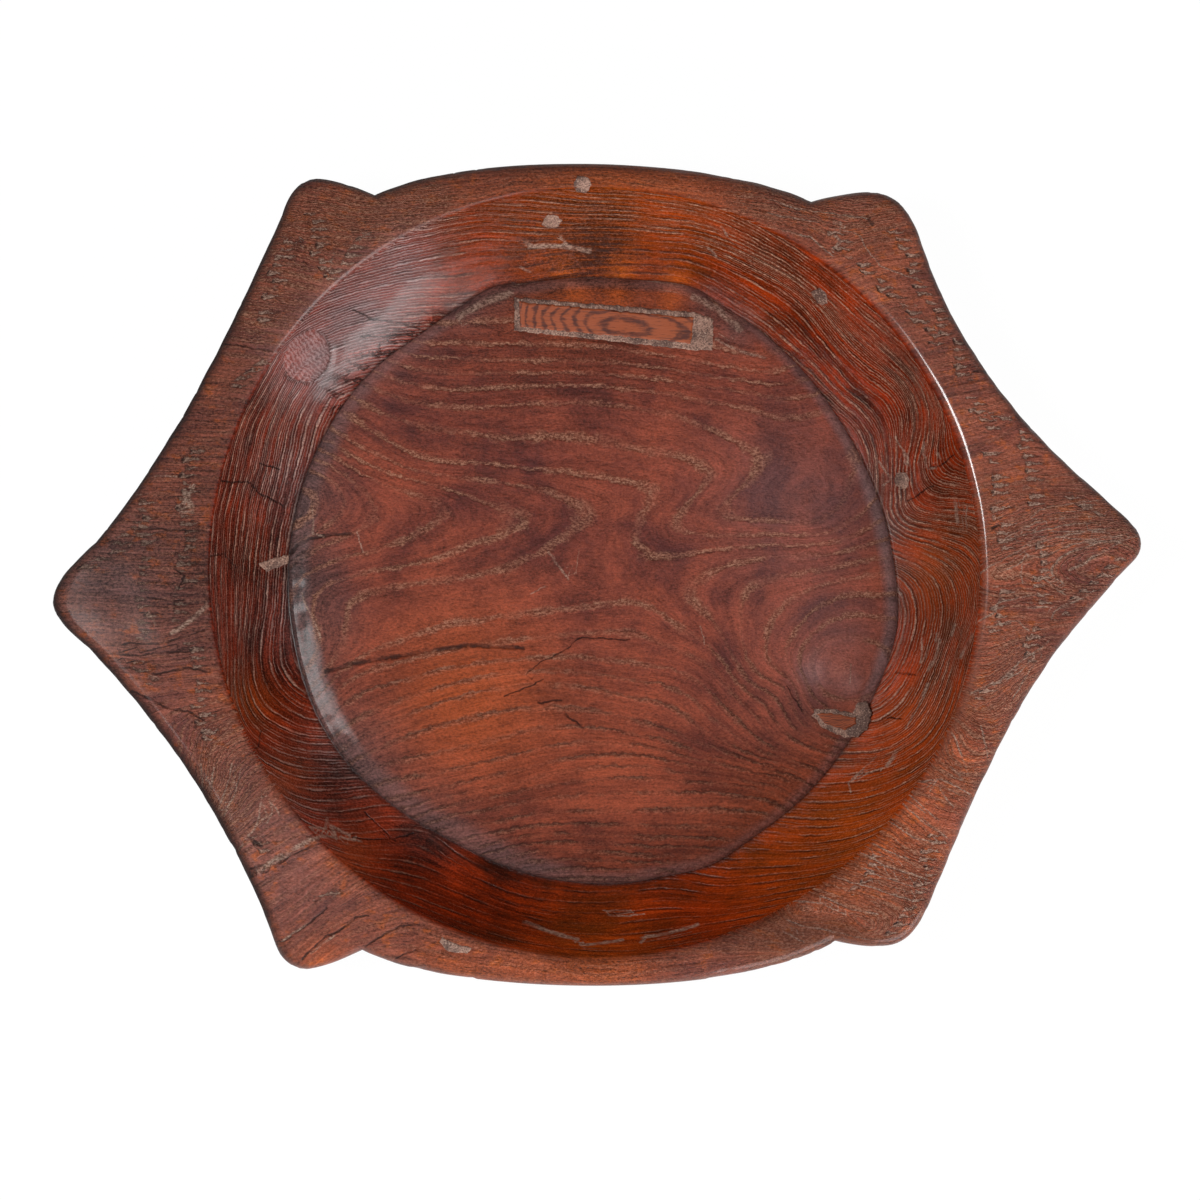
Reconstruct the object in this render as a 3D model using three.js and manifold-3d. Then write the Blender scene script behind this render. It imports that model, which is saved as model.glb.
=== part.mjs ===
// A wide carved wooden bowl: a round hollow in a thick plank whose rim runs out into six points.
// Two long points lie along X, four short lobes stand at the corners, and a shoulder notch lies
// beside each lobe. Old damage is mended with let-in wood and with putty, each in a bed of its own.
// Millimetres, +Z up. The foot rests on z = 0, and the long points lie along X.
import * as THREE from 'three';
import { mergeVertices } from 'three/addons/utils/BufferGeometryUtils.js';
import Module from 'manifold-3d';

const wasm = await Module();
wasm.setup();

// The plank rim
const RIM_TOP = 88;
const PLANK = 24;
const EDGE_ROUND = 9;
const UNDER_ROUND = 6;
const TIP_DROP = 5;
const TIP_REACH = 353;

// The round hollow, its centre a little off the plank's own
const HOLLOW = { x: -3, y: 1, mouth: 250, foot: 201 };
const MOUTH_ROUND = 5;
const CREVICE_HEIGHT = 25;
const WALL_START_SLOPE = 25;
const WALL_END_SLOPE = 66;

// The floor inside stands a little proud of the crevice round it, and is slightly domed
const FLOOR_HEIGHT = 29;
const FLOOR_DOME = 2;
const SHOULDER = 9;

// Hand carving: where the floor's edge swells out or draws in, as [direction, spread, amount]
const EDGE_SWELLS = [
  [30, 22, -5.5], [72, 7, 5], [109, 5, 4], [126, 8, -2.5], [210, 14, 2.5], [242, 13, -3.5],
  [292, 7, 4], [276, 10, 2], [350, 10, 3.5],
];

// The belly under the rim, and the flat foot
const NECK = 257;
const NECK_SETBACK = 9;
const NECK_HEIGHT = 58;
const BELLY_CORNER = { radius: 238, height: 2 };
const FOOT_FLAT = 166;
const FOOT_ROUND = 4;

// Fineness of the mesh
const POINT_STEP = 19;
const SMALL_STEP = 10;

// Mends: the space left round a piece, and how deep the beds are
const SEAT_GAP = 0.3;
const PATCH_DEPTH = 7;
const CHIP_DEPTH = 6;
const PLUG_DEPTH = 5;
const STOCK_OVER = 14;

const v2 = (x, y) => new THREE.Vector2(x, y);
const radians = THREE.MathUtils.degToRad;

// The plank seen from above, anticlockwise from the right point's upper shoulder
function plankOutline() {
  const rim = new THREE.Path();
  rim.moveTo(316, 61);
  // upper right side and its lobe
  rim.quadraticCurveTo(239, 128, 210, 218);
  rim.quadraticCurveTo(203, 243, 186, 249.5);
  rim.quadraticCurveTo(170, 253, 138, 243.5);
  // top arc, notch to notch
  rim.bezierCurveTo(78, 273, -84, 276.7, -148, 245.5);
  // upper left lobe and side
  rim.quadraticCurveTo(-172, 256, -186, 256);
  rim.quadraticCurveTo(-201, 256, -208, 232);
  rim.bezierCurveTo(-240, 157, -277, 77, -326, 16.5);
  // left point
  rim.quadraticCurveTo(-353, -6, -353, -22);
  rim.quadraticCurveTo(-352, -34, -329.5, -51.5);
  // lower left side and its lobe
  rim.quadraticCurveTo(-251, -133, -211, -233);
  rim.quadraticCurveTo(-205, -257, -188, -257);
  rim.quadraticCurveTo(-176, -256, -153, -245);
  // bottom arc
  rim.bezierCurveTo(-98, -272.5, 82, -279.5, 151, -239);
  // lower right lobe and side
  rim.quadraticCurveTo(170, -244, 188, -241.5);
  rim.quadraticCurveTo(203, -237, 211, -217);
  rim.bezierCurveTo(237, -157, 265, -88, 307, -38);
  // right point
  rim.quadraticCurveTo(334, -6, 347, 7);
  rim.quadraticCurveTo(361, 20, 344, 36);
  rim.lineTo(316, 61);
  return rim;
}

// Every curve is divided by its own length, so that points and notches keep their corners
function ringOfPoints(path) {
  const points = [];
  for (const curve of path.curves) {
    const length = curve.getLength();
    const step = length < 60 ? SMALL_STEP : POINT_STEP;
    const parts = Math.max(1, Math.round(length / step));
    points.push(...curve.getSpacedPoints(parts).slice(0, -1));
  }
  return points;
}

function turnBetween(a, b) {
  return Math.abs(THREE.MathUtils.euclideanModulo(a - b + 180, 360) - 180);
}

function floorRadius(direction) {
  const bell = ([at, spread, amount]) => amount * Math.exp(-((turnBetween(direction, at) / spread) ** 2));
  return HOLLOW.foot + EDGE_SWELLS.reduce((sum, swell) => sum + bell(swell), 0);
}

// The rim's upper face falls gently from the mouth to the tips
function rimHeight(radius) {
  const out = Math.max(0, radius - HOLLOW.mouth) / (TIP_REACH - HOLLOW.mouth);
  return RIM_TOP - TIP_DROP * out * out;
}

function bend(from, corner, to) {
  return new THREE.QuadraticBezierCurve(v2(...from), v2(...corner), v2(...to));
}

// The hollow's wall: flat at its foot and steep under the mouth. Both tangents meet in the corner.
function wallCurve(foot) {
  const top = [HOLLOW.mouth - 1, RIM_TOP - MOUTH_ROUND];
  const low = Math.tan(radians(WALL_START_SLOPE));
  const high = Math.tan(radians(WALL_END_SLOPE));
  const x = (top[1] - CREVICE_HEIGHT + low * foot - high * top[0]) / (low - high);
  return bend([foot, CREVICE_HEIGHT], [x, CREVICE_HEIGHT + low * (x - foot)], top);
}

// The whole section in one direction, from the floor's centre over the rim to the foot's centre:
// curves in radius and height, each with the number of parts it is cut into
function section(direction, reach) {
  const edge = floorRadius(direction);
  const shoulder = edge - SHOULDER;
  const mouthOut = HOLLOW.mouth + MOUTH_ROUND - 1;
  const brow = Math.max(reach - EDGE_ROUND, mouthOut + 1);
  const face = rimHeight(reach);
  const top = rimHeight(brow);
  const under = face - PLANK;
  const neck = Math.min(NECK, reach - NECK_SETBACK);
  const centre = FLOOR_HEIGHT + FLOOR_DOME;
  return [
    [bend([0, centre], [shoulder / 2, centre], [shoulder, FLOOR_HEIGHT]), 3],
    [bend([shoulder, FLOOR_HEIGHT], [edge - 1.5, FLOOR_HEIGHT - 0.6], [edge, CREVICE_HEIGHT]), 3],
    [wallCurve(edge), 6],
    [bend([HOLLOW.mouth - 1, RIM_TOP - MOUTH_ROUND], [HOLLOW.mouth + 0.4, RIM_TOP], [mouthOut, RIM_TOP]), 3],
    [bend([mouthOut, RIM_TOP], [(mouthOut + brow) / 2, RIM_TOP], [brow, top]), 2],
    [bend([brow, top], [reach - 0.5, top - 0.5], [reach, top - EDGE_ROUND]), 3],
    [bend([reach, top - EDGE_ROUND], [reach, under + 1], [reach - UNDER_ROUND, under]), 3],
    [bend([reach - UNDER_ROUND, under], [neck + 4, under - 1], [neck - 1, NECK_HEIGHT - 4]), 2],
    [bend([neck - 1, NECK_HEIGHT - 4], [BELLY_CORNER.radius, BELLY_CORNER.height],
      [FOOT_FLAT + FOOT_ROUND, 1.2]), 5],
    [bend([FOOT_FLAT + FOOT_ROUND, 1.2], [FOOT_FLAT + 1, 0], [FOOT_FLAT, 0]), 1],
  ];
}

function sectionPoints(direction, reach) {
  return section(direction, reach).flatMap(([curve, parts]) => curve.getPoints(parts).slice(1));
}

// One section stands at every point of the outline, and neighbours are joined into a closed skin
function plankSkin() {
  const hub = v2(HOLLOW.x, HOLLOW.y);
  const columns = ringOfPoints(plankOutline()).map((point) => {
    const arm = point.clone().sub(hub);
    const reach = arm.length();
    const along = arm.clone().divideScalar(reach);
    const direction = THREE.MathUtils.radToDeg(arm.angle());
    return sectionPoints(direction, reach).map(({ x, y }) => [hub.x + along.x * x, hub.y + along.y * x, y]);
  });
  const around = columns.length;
  const rings = columns[0].length;
  const positions = [[hub.x, hub.y, FLOOR_HEIGHT + FLOOR_DOME], [hub.x, hub.y, 0], ...columns.flat()];
  const at = (column, ring) => 2 + (column % around) * rings + ring;
  const faces = [];
  for (let c = 0; c < around; c += 1) {
    faces.push([0, at(c, 0), at(c + 1, 0)]);
    for (let r = 0; r < rings - 1; r += 1) {
      faces.push([at(c, r), at(c, r + 1), at(c + 1, r + 1)]);
      faces.push([at(c, r), at(c + 1, r + 1), at(c + 1, r)]);
    }
    faces.push([1, at(c + 1, rings - 1), at(c, rings - 1)]);
  }
  const geometry = new THREE.BufferGeometry();
  geometry.setAttribute('position', new THREE.Float32BufferAttribute(positions.flat(), 3));
  geometry.setIndex(faces.flat());
  return geometry;
}

function solidOf(geometry) {
  const bare = geometry.clone();
  bare.deleteAttribute('normal');
  bare.deleteAttribute('uv');
  const merged = mergeVertices(bare, 1e-4);
  return new wasm.Manifold(new wasm.Mesh({
    numProp: 3,
    vertProperties: Float32Array.from(merged.attributes.position.array),
    triVerts: Uint32Array.from(merged.index.array),
  }));
}

function geometryOf(solid) {
  const { vertProperties, triVerts } = solid.getMesh();
  const geometry = new THREE.BufferGeometry();
  geometry.setAttribute('position', new THREE.Float32BufferAttribute(vertProperties, 3));
  geometry.setIndex(Array.from(triVerts));
  geometry.computeVertexNormals();
  return geometry;
}

// The outline drawn in by a distance, edge by edge
function drawnIn(outline, distance) {
  const count = outline.length;
  const edge = (i) => {
    const a = v2(...outline[i % count]);
    const b = v2(...outline[(i + 1) % count]);
    const run = b.clone().sub(a).normalize();
    return { a: a.add(v2(-run.y, run.x).multiplyScalar(distance)), run };
  };
  return outline.map((_, i) => {
    const before = edge(i + count - 1);
    const after = edge(i);
    const gap = after.a.clone().sub(before.a);
    const t = gap.cross(after.run) / before.run.cross(after.run);
    return before.a.clone().addScaledVector(before.run, t).toArray();
  });
}

// A block square to the surface at the seat, from its depth below to well above the surface
function block(seat, outline, depth) {
  const shape = new THREE.Shape(outline.map(([x, y]) => v2(x, y)));
  const geometry = new THREE.ExtrudeGeometry(shape, { depth: depth + STOCK_OVER, bevelEnabled: false });
  geometry.translate(0, 0, -depth);
  geometry.applyMatrix4(seat);
  return solidOf(geometry);
}

// Seats on the floor and on the rim stand upright, and their outlines are drawn in plan
function uprightSeat(height) {
  return new THREE.Matrix4().makeTranslation(0, 0, height);
}

// A seat on the wall: +Y runs up the slope, +X runs around, and +Z stands out of the wall
function wallSeat(direction, height) {
  const curve = wallCurve(floorRadius(direction));
  let share = 0;
  while (curve.getPoint(share).y < height) share += 0.01;
  const point = curve.getPoint(share);
  const slope = curve.getTangent(share);
  const turn = radians(direction);
  const outward = new THREE.Vector3(Math.cos(turn), Math.sin(turn), 0);
  const upSlope = outward.clone().multiplyScalar(slope.x).setZ(slope.y);
  const around = new THREE.Vector3(Math.sin(turn), -Math.cos(turn), 0);
  const normal = around.clone().cross(upSlope);
  const seat = new THREE.Matrix4().makeBasis(around, upSlope, normal);
  return seat.setPosition(HOLLOW.x + outward.x * point.x, HOLLOW.y + outward.y * point.x, point.y);
}

// An uneven round outline for a lump of filler
function lump(width, height, wobble) {
  const corners = 9;
  return Array.from({ length: corners }, (_, i) => {
    const turn = (i / corners) * 2 * Math.PI;
    const swell = 1 + wobble * Math.sin(2.6 * i + 1);
    return [width / 2 * swell * Math.cos(turn), height / 2 * swell * Math.sin(turn)];
  });
}

const shifted = (outline, x, y) => outline.map(([a, b]) => [a + x, b + y]);

// Each mend: a bed cut in the plank, and pieces that fill it. A later piece fills what earlier ones leave.
const MENDS = [
  {
    seat: uprightSeat(FLOOR_HEIGHT),
    depth: PATCH_DEPTH,
    bed: [[-55.5, 165], [-12, 160.5], [28, 156.5], [66, 152.5], [76.5, 153], [77, 174.5], [64, 178.5], [-55.5, 187.5]],
    pieces: [
      { name: 'floor_patch', wood: true, outline: [[-51.5, 167.5], [62, 157.5], [64, 174.5], [-52.3, 184.4]] },
      { name: 'floor_patch_filler' },
    ],
  },
  {
    seat: uprightSeat(FLOOR_HEIGHT),
    depth: CHIP_DEPTH,
    bed: [[141.5, -90.5], [148.5, -98.5], [155, -101.5], [164, -105], [172, -104.5], [179, -98.5], [181.5, -88],
      [178, -80.5], [172, -82], [169, -88.5], [153, -86], [143.5, -86.5]],
    pieces: [
      { name: 'knot_chip', wood: true, outline: [[144.5, -89.5], [150, -95.5], [163, -100], [171, -96], [170.3, -92], [153, -88.7]] },
      { name: 'knot_filler' },
    ],
  },
  {
    seat: wallSeat(177.6, 31),
    depth: PLUG_DEPTH,
    bed: [[-2.5, 12], [-7.5, 5], [-3, -6], [1.5, -13], [6.5, -12.5], [3, -2]],
    pieces: [{ name: 'wall_crack_filler' }],
  },
  {
    seat: wallSeat(17.5, 36),
    depth: PLUG_DEPTH,
    bed: lump(12, 11, 0.08),
    pieces: [{ name: 'wall_plug_right' }],
  },
  {
    seat: wallSeat(97, 56),
    depth: PLUG_DEPTH,
    bed: lump(12, 13, 0.1),
    pieces: [{ name: 'wall_plug_top' }],
  },
  {
    seat: wallSeat(51, 59),
    depth: PLUG_DEPTH,
    bed: lump(11, 12, 0.14),
    pieces: [{ name: 'wall_plug_upper_right' }],
  },
  {
    seat: uprightSeat(RIM_TOP - 3),
    depth: PLUG_DEPTH,
    bed: shifted(lump(12, 10.5, 0.08), -12.5, 252.5),
    pieces: [{ name: 'rim_plug_top' }],
  },
  {
    seat: uprightSeat(RIM_TOP),
    depth: PLUG_DEPTH,
    bed: [[-104, -239.5], [-98, -245.8], [-86, -247], [-83, -243.5], [-94, -240.5], [-102, -236.5]],
    pieces: [{ name: 'rim_plug_bottom' }],
  },
];

const finishes = {
  wood: { color: 0x7a3a22, roughness: 0.5, metalness: 0 },
  patch: { color: 0x8a4226, roughness: 0.5, metalness: 0 },
  putty: { color: 0x8d7763, roughness: 0.85, metalness: 0 },
};

function meshOf(name, solid, finish) {
  const mesh = new THREE.Mesh(geometryOf(solid), new THREE.MeshStandardMaterial(finishes[finish]));
  mesh.name = name;
  return mesh;
}

// The plank is bedded for one mend after another. Pieces are cut from the plank's own stock, so they lie flush.
function buildBowl() {
  const group = new THREE.Group();
  const stock = solidOf(plankSkin());
  let plank = stock;
  for (const { seat, depth, bed, pieces } of MENDS) {
    let room = block(seat, drawnIn(bed, SEAT_GAP), depth - SEAT_GAP);
    for (const { name, wood, outline } of pieces) {
      const fill = outline ? block(seat, drawnIn(outline, SEAT_GAP), depth - SEAT_GAP) : room;
      group.add(meshOf(name, stock.intersect(fill), wood ? 'patch' : 'putty'));
      if (outline) room = room.subtract(block(seat, outline, depth));
    }
    plank = plank.subtract(block(seat, bed, depth));
  }
  group.add(meshOf('bowl_body', plank, 'wood'));
  return group;
}

const group = buildBowl();
export default group;
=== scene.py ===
"""A wide carved wooden bowl: a round hollow in a thick plank with six uneven rounded points.

The plank is one mesh, built of sections like the carving itself, fine enough to carry its worn
surface. Its grain is a field of growth rings that runs through guide lines read from the photograph,
so that rings, filled pores and stain follow each other as they do in the wood.
"""
import math
import bpy
import numpy as np
from mathutils import Matrix, Vector
from mathutils.geometry import delaunay_2d_cdt


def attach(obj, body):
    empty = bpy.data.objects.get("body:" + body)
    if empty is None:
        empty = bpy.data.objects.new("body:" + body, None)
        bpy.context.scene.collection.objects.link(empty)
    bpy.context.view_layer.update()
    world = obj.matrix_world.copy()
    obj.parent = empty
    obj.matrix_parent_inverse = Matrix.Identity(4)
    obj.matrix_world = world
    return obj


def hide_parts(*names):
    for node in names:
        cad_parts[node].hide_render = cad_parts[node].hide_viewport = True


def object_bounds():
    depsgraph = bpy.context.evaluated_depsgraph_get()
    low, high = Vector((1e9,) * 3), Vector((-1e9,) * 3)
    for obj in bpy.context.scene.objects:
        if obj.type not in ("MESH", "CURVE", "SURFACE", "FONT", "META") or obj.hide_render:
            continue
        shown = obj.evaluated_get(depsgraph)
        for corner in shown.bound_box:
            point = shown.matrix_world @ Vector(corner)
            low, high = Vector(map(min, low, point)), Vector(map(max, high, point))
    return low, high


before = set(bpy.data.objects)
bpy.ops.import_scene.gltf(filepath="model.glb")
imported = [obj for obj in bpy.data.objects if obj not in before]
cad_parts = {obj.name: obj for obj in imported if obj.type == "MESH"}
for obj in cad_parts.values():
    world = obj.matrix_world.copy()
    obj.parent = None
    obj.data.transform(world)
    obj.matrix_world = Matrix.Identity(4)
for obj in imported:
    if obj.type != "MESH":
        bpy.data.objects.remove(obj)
cad_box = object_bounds()

MM = 0.001

# The plank, in millimetres, as it is carved in the frame
RIM_TOP = 88.0
PLANK = 24.0
EDGE_ROUND = 9.0
UNDER_ROUND = 6.0
TIP_DROP = 5.0
TIP_REACH = 353.0
HUB = np.array([-3.0, 1.0])
MOUTH = 250.0
FOOT_OF_WALL = 201.0
MOUTH_ROUND = 5.0
MOUTH_MARGIN = 6.5
CREVICE_HEIGHT = 25.0
WALL_START_SLOPE = 25.0
WALL_END_SLOPE = 66.0
FLOOR_HEIGHT = 29.0
FLOOR_DOME = 2.0
SHOULDER = 9.0
EDGE_SWELLS = [
    (30, 22, -5.5), (72, 7, 5), (109, 5, 4), (126, 8, -2.5), (210, 14, 2.5), (242, 13, -3.5),
    (292, 7, 4), (276, 10, 2), (350, 10, 3.5),
]
NECK = 257.0
NECK_SETBACK = 9.0
NECK_HEIGHT = 58.0
BELLY_CORNER = (238.0, 2.0)
FOOT_FLAT = 166.0
FOOT_ROUND = 4.0

# The plank seen from above: each curve by its corner points and its end
OUTLINE_START = (316, 61)
OUTLINE = [
    [(239, 128), (210, 218)], [(203, 243), (186, 249.5)], [(170, 253), (138, 243.5)],
    [(78, 273), (-84, 276.7), (-148, 245.5)],
    [(-172, 256), (-186, 256)], [(-201, 256), (-208, 232)], [(-240, 157), (-277, 77), (-326, 16.5)],
    [(-353, -6), (-353, -22)], [(-352, -34), (-329.5, -51.5)],
    [(-251, -133), (-211, -233)], [(-205, -257), (-188, -257)], [(-176, -256), (-153, -245)],
    [(-98, -272.5), (82, -279.5), (151, -239)],
    [(170, -244), (188, -241.5)], [(203, -237), (211, -217)], [(237, -157), (265, -88), (307, -38)],
    [(334, -6), (347, 7)], [(361, 20), (344, 36)], [(330, 48.5), (316, 61)],
]

# Fineness of the mesh: columns around above the neck, half as many below it from the belly's curve
# of the section on, and how many points follow each curve of the outline or of the wall
COLUMNS = 640
BELLY_CURVE = 7
CURVE_POINTS = 60

# The wall laid flat: millimetres for each degree of direction, and the length of its climb
DIRECTION_MM = math.radians(1) * 225
WALL_CLIMB = 78.0

# The heart of the tree over the back, as y and z, and the room of a ring there
HEARTWOOD = (-30.0, 400.0)
BACK_RING = 5.0

# What a reading says where there is no mark: far beside it, its half width, and none of it near
NO_MARK = (9, 1, 0)

# An uneven swell: how many waves it has, and the turn from one to the next in radians
WAVES = 7
WAVE_TURN = 2.39996

# How far around a mark it is still read
MARK_ROOM = 6.0

# How high the wall's knot swells and how deep its groove is, and the share of the wall's relief that
# goes inwards and up, since the wall stands slanting
KNOT_SWELL = 0.9
WALL_LEAN = 0.7

# How far out along x and along y the ends of the points begin, which keep their full reach
LONG_END, WIDE_END = 349, 263

# How deep the floor is cut out under a mend, and how far inside the mend's outline
BED_DEPTH = 2.5
BED_MARGIN = 2.2

# A mend's thickness, how far it stands off the carving, and the pitch of its mesh
MEND_DEPTH = 2.0
MEND_LIFT = 0.25
MEND_PITCH = 1.2

# The rounded mouth where the putty lies on it: distances past the mouth, and the heights there
PAST_MOUTH = [-1, 0, 1.6, 3.7, 6.5]
MOUTH_HEIGHTS = [83, 84.9, 86.35, 87.4, 87.75]

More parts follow.
